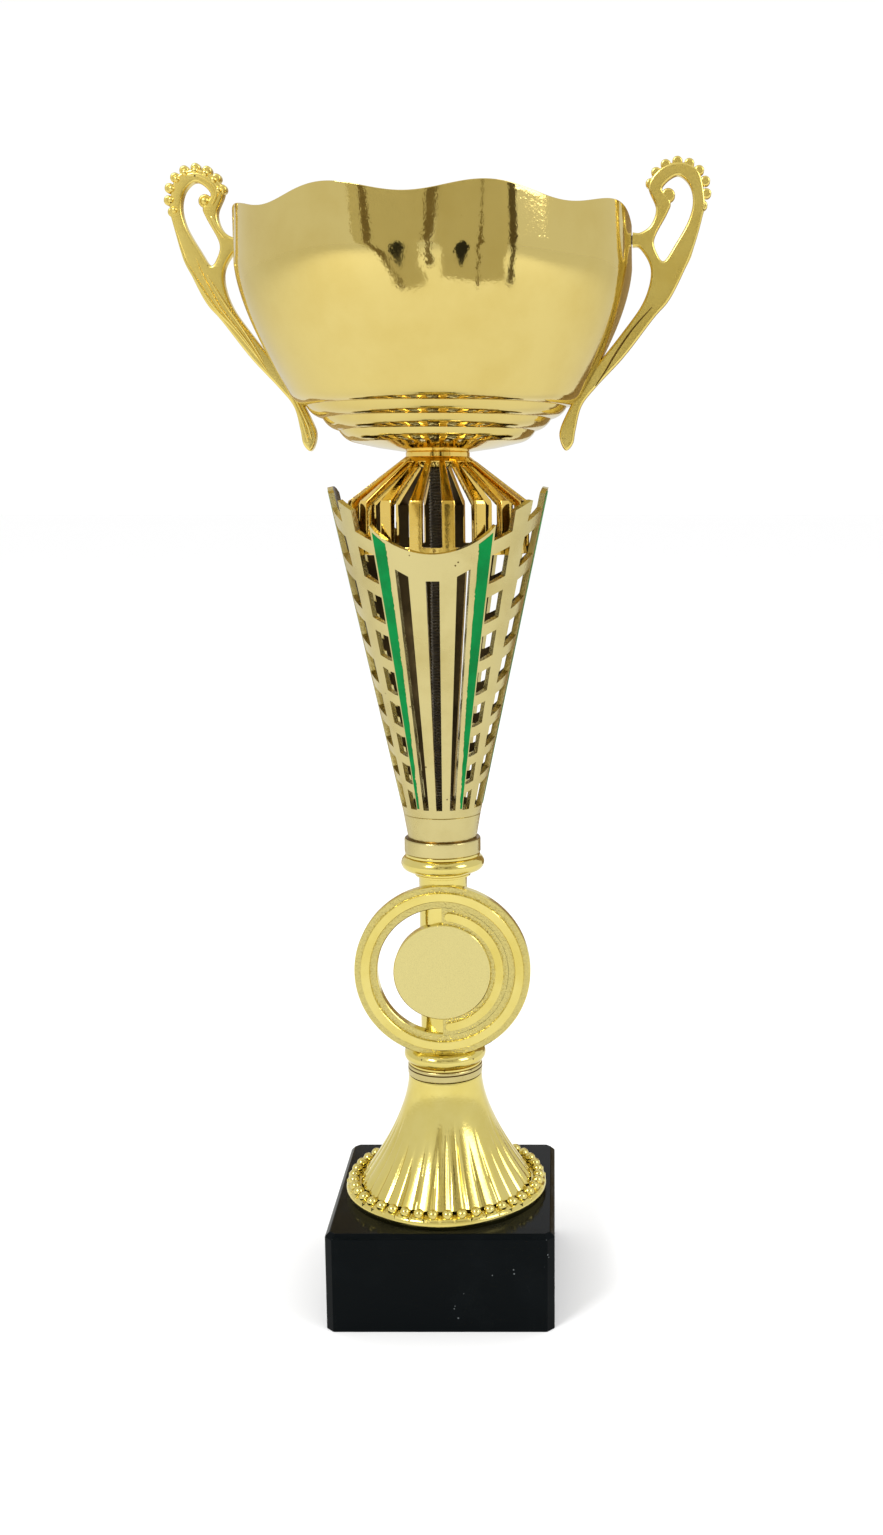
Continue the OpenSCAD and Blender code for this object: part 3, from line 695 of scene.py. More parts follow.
def half_ring(bm, inner, outer, sweep, base, height, round_ends):
    """A flat half ring about +X, extruded upwards, with square or round ends."""
    start = Matrix.Rotation(math.radians(-sweep), 4, "Z")
    middle = (inner + outer) / 2
    faces = []

    def swept(first, last, pivot, angle, steps):
        ends = [bm.verts.new(start_at @ Vector((r, 0, base))) for r in (first, last)]
        edge = bm.edges.new(ends)
        known = set(bm.faces)
        bmesh.ops.spin(bm, geom=ends + [edge], cent=pivot, axis=(0, 0, 1), angle=angle, steps=steps)
        faces.extend(f for f in bm.faces if f not in known)

    start_at = start
    swept(inner, outer, (0, 0, base), math.radians(2 * sweep), 96)
    if round_ends:
        swept(middle, outer, start @ Vector((middle, 0, base)), -math.pi, 16)
        start_at = Matrix.Rotation(math.radians(sweep), 4, "Z")
        swept(middle, outer, start_at @ Vector((middle, 0, base)), math.pi, 16)
    verts = list({v for f in faces for v in f.verts})
    bmesh.ops.remove_doubles(bm, verts=verts, dist=0.01)
    faces = [f for f in faces if f.is_valid]
    raised = bmesh.ops.extrude_face_region(bm, geom=faces, use_keep_orig=True)["geom"]
    tops = [v for v in raised if isinstance(v, bmesh.types.BMVert)]
    bmesh.ops.translate(bm, vec=(0, 0, height), verts=tops)
    top_faces = {f for f in raised if isinstance(f, bmesh.types.BMFace)}
    rim = [e for f in top_faces for e in f.edges if sum(g in top_faces for g in e.link_faces) == 1]
    bmesh.ops.bevel(
        bm, geom=list(set(rim)), offset=0.12, offset_type="OFFSET", segments=2, profile=0.5,
        affect="EDGES", clamp_overlap=True, material=-1,
    )


def emblem_ring():
    """The whole ring as its own bmesh, standing in its place."""
    bm = bmesh.new()
    low, high = RING_T, RING_T + RELIEF
    step = 0.12
    outline = [
        (WINDOW_R, 0.1), (WINDOW_R + 0.1, 0), (RING_R - 0.3, 0), (RING_R, 0.3), (RING_R, low - 0.25),
        (RING_R - 0.2, low), (SMOOTH_BAND[1] + step, low), (SMOOTH_BAND[1], high - step),
        (SMOOTH_BAND[1] - step, high), (SMOOTH_BAND[0] + step, high), (SMOOTH_BAND[0], high - step),
        (SMOOTH_BAND[0] - step, low), (WINDOW_R + 0.2, low), (WINDOW_R, low - 0.2),
    ]
    lathe(bm, outline, 192, closed=True)
    disc = [(0, 0), (DISC_R - 0.1, 0), (DISC_R, 0.2), (DISC_R, high - 0.2), (DISC_R - 0.2, high), (0, high)]
    lathe(bm, disc, 160)
    half_ring(bm, DISC_R - 0.4, WINDOW_R + 0.4, 90.0, 0.2, low - 0.2, False)
    half_ring(bm, *HALF_BAND, HALF_BAND_SWEEP, low - 0.2, RELIEF + 0.2, True)
    close_seams(bm)
    for face in bm.faces:
        middle = face.calc_center_median()
        if face.normal.z > 0.9:
            radius = math.hypot(middle.x, middle.y)
            if abs(middle.z - low) < 0.05:
                face.material_index = 1
            elif radius < DISC_R - 0.3 and middle.z > low:
                face.material_index = 2
    stand = Matrix.Translation((0, RELIEF + RING_FRONT, EMBLEM_Z)) @ Matrix.Rotation(math.radians(90), 4, "X")
    bmesh.ops.transform(bm, matrix=stand @ Matrix.Translation((0, 0, -RING_T)), verts=bm.verts)
    return bm


def medallion_riser():
    """The riser: its column and its emblem ring in one casting."""
    bm = bmesh.new()
    column(bm)
    close_seams(bm)
    add_to(bm, emblem_ring())
    return finish("emblem_riser", bm, [gold_casting, stipple, satin], "gold_casting", "medallion_riser")


medallion_riser()

# %% [markdown]
# ## Pierced cone
# The cone is a moulded basket: two plain panels with slots, at the front and the back, a plain
# strip at each side, and a lattice of sloping bars between them. A net of faces is drawn flat,
# with one column line for each upright edge and one row line for each level edge. The window
# faces are deleted, the net is wrapped round a quarter of the cone, mirrored twice, given its
# wall and bevelled. This way every bar keeps clean, even edges, which a cut with a boolean loses.

# %% Sizes of the cone
CONE_Z = foot_of("lattice_cone")
CONE_TOP = top_of("lattice_cone")
CONE_FOOT_R = 9.1
CONE_NECK_R = 10.3
CONE_TOP_R = 28.4
CONE_WALL = 1.4
NECK_Z = CONE_Z + 7.0
LATTICE_Z = NECK_Z + 2.0
TOP_BAR_Z = CONE_TOP - 13.1
CORNER_Z = TOP_BAR_Z + 3.8
PANEL_DIP = 7.0
POST_RISE = 5.0
ROWS = 8
ROW_RATIO = 0.94
BAR_SHARE = 0.33
BAR_SLOPE = 0.42
PANEL_EDGE = (36.5, 33.5)
UPRIGHTS = [
    ((0, 0), 2), ((4.15, 4.15), 3), ((14.6, 14.6), 3), ((22.7, 22.7), 4), (PANEL_EDGE, 3),
    ((49.0, 44.7), 3), ((61.5, 55.0), 4), ((79.0, 77.0), 3), ((90, 90), 0),
]
SLOT_TOP_DROPS = {0: 6.6, 4.15: 6.6, 14.6: 5.5, 22.7: 3.7}


def cone_radius(z):
    """Outer radius of the cone at a height."""
    if z < NECK_Z:
        return lerp(CONE_FOOT_R, CONE_NECK_R, (z - CONE_Z) / (NECK_Z - CONE_Z))
    return lerp(CONE_NECK_R, CONE_TOP_R, (z - NECK_Z) / (CONE_TOP - NECK_Z))


def edge_angle(pair, z):
    """Angle of an upright edge, given as (at the top, at the foot), at a height."""
    return lerp(pair[1], pair[0], (z - LATTICE_Z) / (CONE_TOP - LATTICE_Z))


def row_z(i):
    """Height of the upper edge of bar i at the panel's edge, counted down from the top bar."""
    return TOP_BAR_Z - (TOP_BAR_Z - LATTICE_Z) * (1 - ROW_RATIO ** i) / (1 - ROW_RATIO ** ROWS)


def window_top(i):
    """Height of the lower edge of bar i at the panel's edge."""
    return lerp(row_z(i), row_z(i + 1), BAR_SHARE)


print("bars at", [round(row_z(i), 1) for i in range(ROWS + 1)])

# %% Column and row lines of the net
columns = []
for (pair, parts), (next_pair, _) in zip(UPRIGHTS, UPRIGHTS[1:]):
    for k in range(parts):
        columns.append(tuple(lerp(a, b, k / parts) for a, b in zip(pair, next_pair)))
columns.append((90.0, 90.0))
collar_rows = [CONE_Z, CONE_Z + 0.35, NECK_Z - 0.45, NECK_Z - 0.3, NECK_Z - 0.15, NECK_Z + 0.4]
bar_rows = [row_z(ROWS)] + [z for i in reversed(range(ROWS)) for z in (window_top(i), row_z(i))]
first_bar = len(collar_rows)
rim_row = first_bar + len(bar_rows)
top_row = rim_row + 1
row_count = top_row
SLOT_TOP_ROW = rim_row - 2
print(len(columns), "columns,", row_count + 1, "rows")

# %% Place of every crossing of the net


def panel_rim(angle):
    """Height of the panel's curved top edge at an angle."""
    half = cone_radius(CORNER_Z) * math.sin(math.radians(PANEL_EDGE[0]))
    radius = (half * half + PANEL_DIP * PANEL_DIP) / (2 * PANEL_DIP)
    across = cone_radius(CORNER_Z - PANEL_DIP / 2) * math.sin(math.radians(angle))
    return CORNER_Z - PANEL_DIP + radius - math.sqrt(radius * radius - across * across)


def slot_top(angle):
    """Height of the slots' tops, which rise from the middle of the panel to its edge."""
    known = sorted(SLOT_TOP_DROPS.items())
    points = [(a, CORNER_Z - PANEL_DIP - drop) for a, drop in known] + [(PANEL_EDGE[0], window_top(0))]
    for (a, low), (b, high) in zip(points, points[1:]):
        if angle <= b:
            return lerp(low, high, (angle - a) / (b - a))
    return points[-1][1]


def crossing(col, row):
    """Angle and height of the crossing of a column line and a row line."""
    pair = columns[col]
    nominal = pair[0]
    if row < first_bar:
        return pair[1], collar_rows[row]
    if nominal < PANEL_EDGE[0]:
        if row == rim_row or row == top_row:
            z = panel_rim(nominal) + (row - rim_row)
        elif row > SLOT_TOP_ROW:
            z = lerp(slot_top(nominal), panel_rim(nominal), 0.5)
        else:
            share = (bar_rows[row - first_bar] - LATTICE_Z) / (window_top(0) - LATTICE_Z)
            z = lerp(LATTICE_Z, slot_top(nominal), share)
        return edge_angle(pair, z), z
    if row >= rim_row:
        if nominal == PANEL_EDGE[0]:
            z = CORNER_Z + (row - rim_row)
        elif nominal > UPRIGHTS[7][0][0] - 1:
            round_off = 1.6 * (abs(90 - nominal) / 11.0) ** 3
            bar_end = TOP_BAR_Z + bar_rise(pair, TOP_BAR_Z)
            z = lerp(bar_end, CONE_TOP - round_off, (row - rim_row + 1) / 2)
        else:
            z = TOP_BAR_Z + POST_RISE + bar_rise(pair, TOP_BAR_Z + POST_RISE) + (row - rim_row)
        return edge_angle(pair, z), z
    z = bar_rows[row - first_bar]
    if row > first_bar:
        z += bar_rise(pair, z)
    return edge_angle(pair, z), z


def bar_rise(pair, z):
    """How far a sloping bar has risen between the panel's edge and an upright."""
    around = math.radians(edge_angle(pair, z) - PANEL_EDGE[0])
    return max(0.0, BAR_SLOPE * cone_radius(z) * around)


def is_open(col, row):
    """True for a face of the net that is a window, a slot or above the basket's top edge."""
    nominal = columns[col][0]
    between = [pair[0] for pair, _ in UPRIGHTS]
    zone = max(i for i, angle in enumerate(between) if nominal >= angle - 0.001)
    if row < first_bar:
        return False
    is_slot, is_lattice = zone in (0, 2), zone in (4, 6)
    if row >= rim_row:
        return zone != 7
    if row == rim_row - 1:
        return is_lattice
    if is_slot and row < SLOT_TOP_ROW:
        return True
    return is_lattice and (row - first_bar) % 2 == 0


# %% Pierced cone
def wrap(angle, z, radius):
    """A point at an angle from the front, with positive angles towards +X."""
    turn = math.radians(angle)
    return Vector((radius * math.sin(turn), -radius * math.cos(turn), z))


def pierced_cone():
    """The basket of the cone with its solid floor."""
    bm = bmesh.new()
    wide = len(columns) - 1
    bmesh.ops.create_grid(bm, x_segments=wide, y_segments=row_count, size=1.0)
    place = {v: (round((v.co.x + 1) / 2 * wide), round((v.co.y + 1) / 2 * row_count)) for v in bm.verts}
    cut = []
    for face in bm.faces:
        corners = [place[v] for v in face.verts]
        if is_open(min(c[0] for c in corners), min(c[1] for c in corners)):
            cut.append(face)
    bmesh.ops.delete(bm, geom=cut, context="FACES")
    for vert in bm.verts:
        angle, z = crossing(*place[vert])
        inset = 0.22 if place[vert][1] == 3 else 0.0
        vert.co = wrap(angle, z, cone_radius(z) - inset)
    for axis in ("X", "Y"):
        bmesh.ops.mirror(bm, geom=bm.verts[:] + bm.edges[:] + bm.faces[:], axis=axis, merge_dist=0.01)
    thicken(bm, CONE_WALL)
    soften(bm, 0.3, angle=math.radians(40))
    floor = [(BORE_R, CONE_Z), (CONE_FOOT_R - 0.8, CONE_Z)]
    floor += [(CONE_NECK_R - 1.0, NECK_Z + 1), (BORE_R, NECK_Z + 1)]
    lathe(bm, floor, 64, closed=True)
    # The faces that look inwards get the painted shade.
    shade_inside(bm)
    reach = max(math.hypot(v.co.x, v.co.y) for v in bm.verts)
    print("cone reaches radius", round(reach, 2))
    return finish("pierced_cone", bm, [pale_gold, painted_inner_shade], "pale_gold", "lattice_cone")


pierced_cone()

# %% [markdown]
# ## Enamel stripes
# The green is brushed on by hand: its outer edge follows the moulding and its inner edge wanders,
# with small blobs. Each stripe is a fine grid wrapped on the cone's surface. Its inner column is
# moved by smooth noise, which gives the same ragged line on every run, and it gets a thin wall.

# %% Stripes
STRIPE_INNER = (26.4, 29.5)
STRIPE_OUTER = (35.3, 32.5)
SIDE_INNER = (82.0, 87.0)
ENAMEL_T = 0.12
ENAMEL_LIP = 0.9


def ragged(z, seed, reach):
    """How far, in millimetres, the brushed edge strays at a height."""
    slow = noise.noise(Vector((z * 0.35, seed, 0)))
    quick = noise.noise(Vector((z * 2.1, seed, 5)))
    blob = max(0.0, noise.noise(Vector((z * 0.9, seed, 9))) - 0.25)
    return reach * (0.5 * slow + 0.45 * quick + 1.2 * blob)


def stripe(bm, edge_a, edge_b, top_at, seed, mirror_x, ragged_edges, swell=0.0):
    """One stripe between two upright edges. top_at gives the height of its top at an angle."""
    across, along = 10, 150
    grid = bmesh.ops.create_grid(bm, x_segments=across, y_segments=along, size=1.0)
    for vert in grid["verts"]:
        s, t = (vert.co.x + 1) / 2, (vert.co.y + 1) / 2
        top = top_at(lerp(edge_a[0], edge_b[0], s))
        z = lerp(LATTICE_Z + 0.3, top, t)
        low, high = edge_angle(edge_a, z), edge_angle(edge_b, z)
        radius = cone_radius(z)
        degrees = math.degrees(1 / radius)
        low += (ragged(z, seed, ragged_edges[0]) - swell * math.sin(math.pi * t)) * degrees
        high += ragged(z, seed + 3, ragged_edges[1]) * degrees
        rounding = ENAMEL_T * (1 - 0.6 * abs(2 * s - 1) ** 4)
        angle = lerp(low, high, s)
        vert.co = wrap(angle, z, radius + rounding)
        if mirror_x:
            vert.co.x = -vert.co.x
    return grid["verts"]


def panel_stripes(name, node, way, seed):
    """Both stripes of one panel. way is 1 at the front and -1 at the back."""
    bm = bmesh.new()
    for mirror_x in (False, True):
        side = bmesh.new()
        stripe(side, STRIPE_INNER, STRIPE_OUTER, lambda a: panel_rim(a) - ENAMEL_LIP,
               seed + 20 * mirror_x, mirror_x, (0.4, 0.03), swell=0.55)
        bmesh.ops.scale(side, vec=(1, way, 1), verts=side.verts)
        thicken(side, ENAMEL_T * 0.8)
        add_to(bm, side)
    return finish(name, bm, [enamel], "green_enamel", node)


def side_stripes():
    """The two stripes on the cone's side strips."""
    bm = bmesh.new()
    for mirror_x in (False, True):
        side = bmesh.new()
        far = tuple(180 - a for a in SIDE_INNER)
        stripe(side, SIDE_INNER, far, lambda a: CONE_TOP - ENAMEL_LIP,
               60 + 7 * mirror_x, mirror_x, (0.25, 0.25))
        thicken(side, ENAMEL_T * 0.8)
        add_to(bm, side)
    return finish("side_enamel", bm, [enamel], "green_enamel", "side_stripes")


panel_stripes("front_enamel", "front_stripes", 1, 2)
panel_stripes("back_enamel", "back_stripes", -1, 40)
side_stripes()

# %% [markdown]
# ## Crown
# The crown is a ribbed cap: ribs slope from its neck to a shoulder and drop as an upright skirt
# to a ring that sits inside the cone. The whole outer surface is spun in many steps, the faces
# between the ribs are deleted, and solidify gives each rib its depth.

# %% Crown
CROWN_TOP = top_of("crown_cap")
CROWN_FOOT = foot_of("crown_cap")
CROWN_NECK_R = 8.2
CROWN_SHOULDER_R = 23.4
CROWN_SHOULDER_Z = CROWN_TOP - 12.7
CROWN_WALL = 1.9
SEAT_H = 2.0
RIBS = 18
RIB_STEPS = 10
RIB_START_R = 10.0
RIB_HALF_SHARE = 0.2


def crown():
    """The ribbed cap."""
    bm = bmesh.new()
    slope = [
        (lerp(CROWN_NECK_R, CROWN_SHOULDER_R, t), lerp(CROWN_TOP - 1.2, CROWN_SHOULDER_Z, t))
        for t in (0.0, (RIB_START_R - CROWN_NECK_R) / (CROWN_SHOULDER_R - CROWN_NECK_R), 0.35, 0.6, 0.8, 0.93)
    ]
    bend = [(CROWN_SHOULDER_R - 0.35, CROWN_SHOULDER_Z + 0.35), (CROWN_SHOULDER_R, CROWN_SHOULDER_Z - 0.6)]
    seat_z = CROWN_FOOT + SEAT_H
    skirt = [(CROWN_SHOULDER_R, lerp(CROWN_SHOULDER_Z - 0.6, seat_z, t)) for t in (0.33, 0.66, 1.0)]
    profile = slope + bend + skirt + [(CROWN_SHOULDER_R, CROWN_FOOT)]
    steps = RIBS * RIB_STEPS
    lathe(bm, profile, steps)
    close_seams(bm)
    cut = []
    for face in bm.faces:
        middle = face.calc_center_median()
        turn = (math.atan2(middle.y, middle.x) % WHOLE_TURN) / WHOLE_TURN * RIBS
        in_slot = RIB_HALF_SHARE < turn % 1 < 1 - RIB_HALF_SHARE
        if in_slot and math.hypot(middle.x, middle.y) > RIB_START_R and middle.z > seat_z:
            cut.append(face)
    bmesh.ops.delete(bm, geom=cut, context="FACES")
    thicken(bm, CROWN_WALL)
    soften(bm, 0.22, angle=math.radians(40))
    # The faces that look inwards get the painted shade.
    shade_inside(bm)
    hub = [(BORE_R, CROWN_TOP - 4), (CROWN_NECK_R - 0.2, CROWN_TOP - 4), (CROWN_NECK_R, CROWN_TOP - 3.8)]
    hub += [(CROWN_NECK_R, CROWN_TOP - 0.25), (CROWN_NECK_R - 0.25, CROWN_TOP), (BORE_R, CROWN_TOP)]
    lathe(bm, hub, 96, closed=True)
    reach = max(math.hypot(v.co.x, v.co.y) for v in bm.verts)
    print("crown reaches radius", round(reach, 2))
    return finish("ribbed_crown", bm, [amber_gold, painted_inner_shade], "amber_gold", "crown_cap")


crown()

# %% [markdown]
# ## Bowl
# The bowl is thin metal spun on a lathe, so it is spun here too: a stepped base, a deep belly and
# an almost upright wall. Its rim is pressed into eight soft lobes. The lobes change the height of
# the rim and pull the wall in a little between them, which bends every reflection near the rim.

# %% Bowl
BOWL_Z = foot_of("bowl")
BOWL_TOP = top_of("bowl")
BOWL_R = 50.0
BOWL_WALL = 0.8
BOWL_TURN = math.radians(-4)
SHOULDER_H = BOWL_TOP - BOWL_Z - 13.2
BELLY_R = 37.2
BELLY_H = 14.2
BELLY_CURVE = (
    (BELLY_R, BELLY_H), (BELLY_R + 4.3, BELLY_H + 7.5), (BOWL_R - 1, SHOULDER_H - 10.5), (BOWL_R, SHOULDER_H)
)
STEPS_R = 21.0
STEPS_H = 2.2
STEPS = 4
STEP_BULGE = 1.15
LOBES = 8
LOBE_DIP = 2.7
LOBE_PULL = 0.75


def cubic(a, b, c, d, t):
    """A point on a cubic curve."""
    return tuple(
        p * (1 - t) ** 3 + q * 3 * t * (1 - t) ** 2 + r * 3 * t * t * (1 - t) + s * t ** 3
        for p, q, r, s in zip(a, b, c, d)
    )


def bowl_profile():
    """Outside of the bowl as (radius, height above its base)."""
    profile = [(BORE_R, 0), (9, 0), ((9 + STEPS_R) / 2, STEPS_H * 0.4)]
    for i in range(STEPS):
        a = (lerp(STEPS_R, BELLY_R, i / STEPS), lerp(STEPS_H, BELLY_H, i / STEPS))
        b = (lerp(STEPS_R, BELLY_R, (i + 1) / STEPS), lerp(STEPS_H, BELLY_H, (i + 1) / STEPS))
        run, rise = b[0] - a[0], b[1] - a[1]
        size = math.hypot(run, rise)
        for k in range(8):
            t = k / 8
            swell = STEP_BULGE * 2 * t * (1 - t)
            out, down = rise / size * swell, run / size * swell
            profile.append((lerp(a[0], b[0], t) + out, lerp(a[1], b[1], t) - down))
    profile += [cubic(*BELLY_CURVE, i / 28) for i in range(29)]
    wall_top = BOWL_TOP - BOWL_Z
    profile += [(BOWL_R, lerp(SHOULDER_H, wall_top, i / 8)) for i in range(1, 9)]
    return profile


def bowl():
    """The spun bowl with its lobed rim."""
    bm = bmesh.new()
    lathe(bm, [(radius, BOWL_Z + height) for radius, height in bowl_profile()], 256)
    close_seams(bm)
    start = BOWL_Z + BELLY_H
    upright = BOWL_Z + SHOULDER_H
    for vert in bm.verts:
        if vert.co.z <= start:
            continue
        radius = math.hypot(vert.co.x, vert.co.y)
        turn = math.atan2(vert.co.y, vert.co.x)
        hollow = (1 + math.cos(LOBES * turn)) / 2
        climb = ease((vert.co.z - start) / (BOWL_TOP - start))
        factor = (radius - LOBE_PULL * hollow * climb) / radius
        vert.co.x *= factor
        vert.co.y *= factor
        if vert.co.z > upright:
            share = (vert.co.z - upright) / (BOWL_TOP - upright)
            vert.co.z -= LOBE_DIP * hollow * share
    thicken(bm, BOWL_WALL)
    soften(bm, 0.2, segments=3, angle=math.radians(60))
    bmesh.ops.rotate(bm, matrix=Matrix.Rotation(BOWL_TURN, 3, "Z"), verts=bm.verts)
    reach = max(math.hypot(v.co.x, v.co.y) for v in bm.verts)
    print("bowl reaches radius", round(reach, 2), "and foot", round(min(v.co.z for v in bm.verts), 2))
    return finish("lobed_bowl", bm, [gold_bowl], "gold_bowl", "bowl")


bowl()

# %% [markdown]
# ## Handles
# Each handle is a flat casting: an S-shaped shaft that opens into a scroll, with a row of bosses
# round its crest, a ball at the end of its curl and a grooved leaf at its tail. Its outline is a
# smooth closed line through a few points, with the eye of the scroll as a second line. A filled
# flat curve with a round bevel gives the casting its rolled edges, and is then made a mesh. Ribs
# and beads are laid on the face that was worked. The other face stays plain, as cast, but for one
# thin dark line along its shaft.

# %% Outline of a handle
HANDLE_T = 3.0
HANDLE_ROUND = 0.6
UPPER_FIX = (BOWL_R, BOWL_TOP - BOWL_Z - 6.3)
LOWER_SHARE = 0.08
LOWER_FIX = cubic(*BELLY_CURVE, LOWER_SHARE)
SCROLL_TOP = [
    (15.6, 16), (10.8, 18.2), (6, 16.6), (3.3, 12.6), (5.2, 7.4), (4, 3.4), (1.3, 1.6),
    (-1.2, 1.5), (-1.2, -1.6), (1.4, -2.2), (4.1, -7.4),
]
SCROLL_RISE = [(14.6, -2.2), (16.8, 5.6), (17.3, 9)]
SHAFT_INNER = [(0.417, 7.3), (0.636, 4.45)]
SHAFT_OUTER = [(0.529, 11.2), (0.422, 13.35), (0.282, 14.5)]
TAIL = [
    (0.6, 3), (-1.6, 0.4), (-4.1, -4.6), (-6.7, -10.2), (-6.8, -13.4), (-5.4, -15.9),
    (-3.6, -14.2), (-2.9, -10.6), (-1.4, -4.8), (2.4, 0), (9.4, 7.4),
]
SCROLL_EYE = [
    (10.2, 15), (6.7, 12.1), (8.8, 8.9), (8, 6.2), (4.9, 0.2), (5.7, -3.6), (7.4, -5.2),
    (9.9, -1.6), (13.2, 4.2), (14.3, 9), (13.2, 13),
]


def near(origin, points):
    """Points moved to start from an origin."""
    return [(origin[0] + x, origin[1] + z) for x, z in points]


def on_shaft(points):
    """Points given as (share of the way from the upper to the lower fixing, distance out)."""
    return [
        (lerp(UPPER_FIX[0], LOWER_FIX[0], share) + out, lerp(UPPER_FIX[1], LOWER_FIX[1], share))
        for share, out in points
    ]


def smooth_stretch(a, b, c, d, steps):
    """Points of the smooth line from b to c, with a and d as the points before and after."""
    stretch = []
    for i in range(steps):
        t = i / steps
        stretch.append(tuple(
            0.5 * (2 * q + (r - p) * t + (2 * p - 5 * q + 4 * r - w) * t * t
                   + (3 * q - p - 3 * r + w) * t ** 3)
            for p, q, r, w in zip(a, b, c, d)
        ))
    return stretch


def smooth_loop(points, steps):
    """A smooth closed line through points."""
    line = []
    count = len(points)
    for i in range(count):
        line += smooth_stretch(*(points[(i + k - 1) % count] for k in range(4)), steps)
    return line


handle_outline = near(UPPER_FIX, SCROLL_TOP) + on_shaft(SHAFT_INNER) + near(LOWER_FIX, TAIL)
handle_outline += on_shaft(SHAFT_OUTER) + near(UPPER_FIX, SCROLL_RISE)
print("handle outline of", len(handle_outline), "points")

# %% Plate of a handle


def flat_casting(outlines):
    """A bmesh of a filled flat curve with rolled edges, lying in the plane of x and z."""
    curve = bpy.data.curves.new("outline", "CURVE")
    curve.dimensions = "2D"
    curve.fill_mode = "BOTH"
    curve.extrude = HANDLE_T / 2 - HANDLE_ROUND
    curve.bevel_depth = HANDLE_ROUND
    curve.bevel_resolution = 3
    curve.offset = -HANDLE_ROUND
    for outline in outlines:
        spline = curve.splines.new("POLY")
        spline.points.add(len(outline) - 1)
        for point, (x, z) in zip(spline.points, outline):
            point.co = (x, z, 0, 1)
        spline.use_cyclic_u = True
    holder = bpy.data.objects.new("outline", curve)
    bpy.context.scene.collection.objects.link(holder)
    bpy.context.view_layer.update()
    flat = bpy.data.meshes.new_from_object(holder)
    bm = bmesh.new()
    bm.from_mesh(flat)
    bpy.data.objects.remove(holder)
    bpy.data.curves.remove(curve)
    bpy.data.meshes.remove(flat)
    bmesh.ops.remove_doubles(bm, verts=bm.verts, dist=0.003)
    bmesh.ops.rotate(bm, matrix=Matrix.Rotation(math.radians(90), 3, "X"), verts=bm.verts)
    return bm


# %% Ornament of a handle
CREST_MID = (10.6, 11.4)
CREST_R = 7.2
CREST_TEETH = 9
CREST_FROM = -30.0
CREST_TO = 165.0
TOOTH_R = 1.25
CURL_MID = (8.2, 10.4)
CURL_R = 1.7
CREST_BEAD_R = 0.95
CURL_BALL_R = 1.3
RIB_RISE = 0.42
RIB_STRETCH_STEPS = 10
RIB_SIDES = 10


def boss(bm, place, radius, thickness):
    """A round boss through the plate at (x, z), with rolled edges."""
    part = bmesh.new()
    at = Matrix.Translation((place[0], 0, place[1])) @ Matrix.Rotation(math.radians(90), 4, "X")
    bmesh.ops.create_cone(
        part, cap_ends=True, segments=24, radius1=radius, radius2=radius, depth=thickness, matrix=at
    )
    soften(part, 0.55, segments=4)
    add_to(bm, part)


def rib(bm, points, width, height, face_y):
    """A raised rib along a smooth line on the worked face, tapering to both ends."""
    last = len(points) - 1
    line = []
    for i in range(last):
        before, after = points[max(i - 1, 0)], points[min(i + 2, last)]
        line += smooth_stretch(before, points[i], points[i + 1], after, RIB_STRETCH_STEPS)
    line.append(points[-1])
    count = len(line) - 1
    last_ring = None
    for i, (x, z) in enumerate(line):
        ahead, behind = line[min(i + 1, count)], line[max(i - 1, 0)]
        along = Vector((ahead[0] - behind[0], 0, ahead[1] - behind[1])).normalized()
        across = Vector((along.z, 0, -along.x))
        taper = math.sin(math.pi * lerp(0.06, 0.94, i / count)) ** 0.6
        turn = Matrix((across, Vector((0, 1, 0)), along)).transposed().to_4x4()
        at = Matrix.Translation((x, face_y, z)) @ turn
        at = at @ Matrix.Diagonal((width * taper, height * taper, 1, 1))
        is_end = i in (0, count)
        ring = bmesh.ops.create_circle(bm, cap_ends=is_end, segments=RIB_SIDES, radius=1.0, matrix=at)
        edges = list({e for v in ring["verts"] for e in v.link_edges if e.other_vert(v) in ring["verts"]})
        if last_ring:
            bmesh.ops.bridge_loops(bm, edges=last_ring + edges)
        last_ring = edges


RIBS_ON_HANDLE = [
    (near(UPPER_FIX, [(15.9, 3.6), (14.4, -1.6), (12.6, -6.0)])
     + on_shaft([(0.42, 11.9), (0.6, 8.2), (0.8, 4.9)]), 0.5),
    (near(UPPER_FIX, [(8.4, -7.4)]) + on_shaft([(0.42, 8.6), (0.62, 5.9), (0.82, 4.0)]), 0.45),
    (near(UPPER_FIX, [(11.0, -3.4), (9.6, -7.0)]) + on_shaft([(0.44, 10.2), (0.66, 6.6), (0.9, 3.6)]), 0.35),
    (near(UPPER_FIX, [(12.6, 16.6), (9.6, 16.7), (6.2, 14.8), (5.0, 12.2), (6.4, 9.0)]), 0.6),
    (near(UPPER_FIX, [(6.6, 6.6), (5.2, 3.6), (3.2, 1.2)]), 0.5),
    (near(LOWER_FIX, [(0.4, 0.4), (-2.2, -4.6), (-4.0, -9.4), (-4.9, -13.6)]), 0.55),
    (near(LOWER_FIX, [(-0.2, 0.2), (-3.2, -5.4), (-5.2, -10.0), (-5.9, -13.0)]), 0.45),
]
BACK_GROOVE = on_shaft([(0.46, 9.9), (0.6, 7.0), (0.76, 4.8), (0.9, 3.4), (1.0, 2.2)])


def clip_out_of_bowl(bm):
    """Flattens what reaches into the bowl's wall against the wall's outside."""
    for vert in bm.verts:
        height = vert.co.z
        if SHOULDER_H < height < BOWL_TOP - BOWL_Z and math.hypot(vert.co.x, vert.co.y) < BOWL_R - 0.5:
            vert.co.x = BOWL_R - 0.5


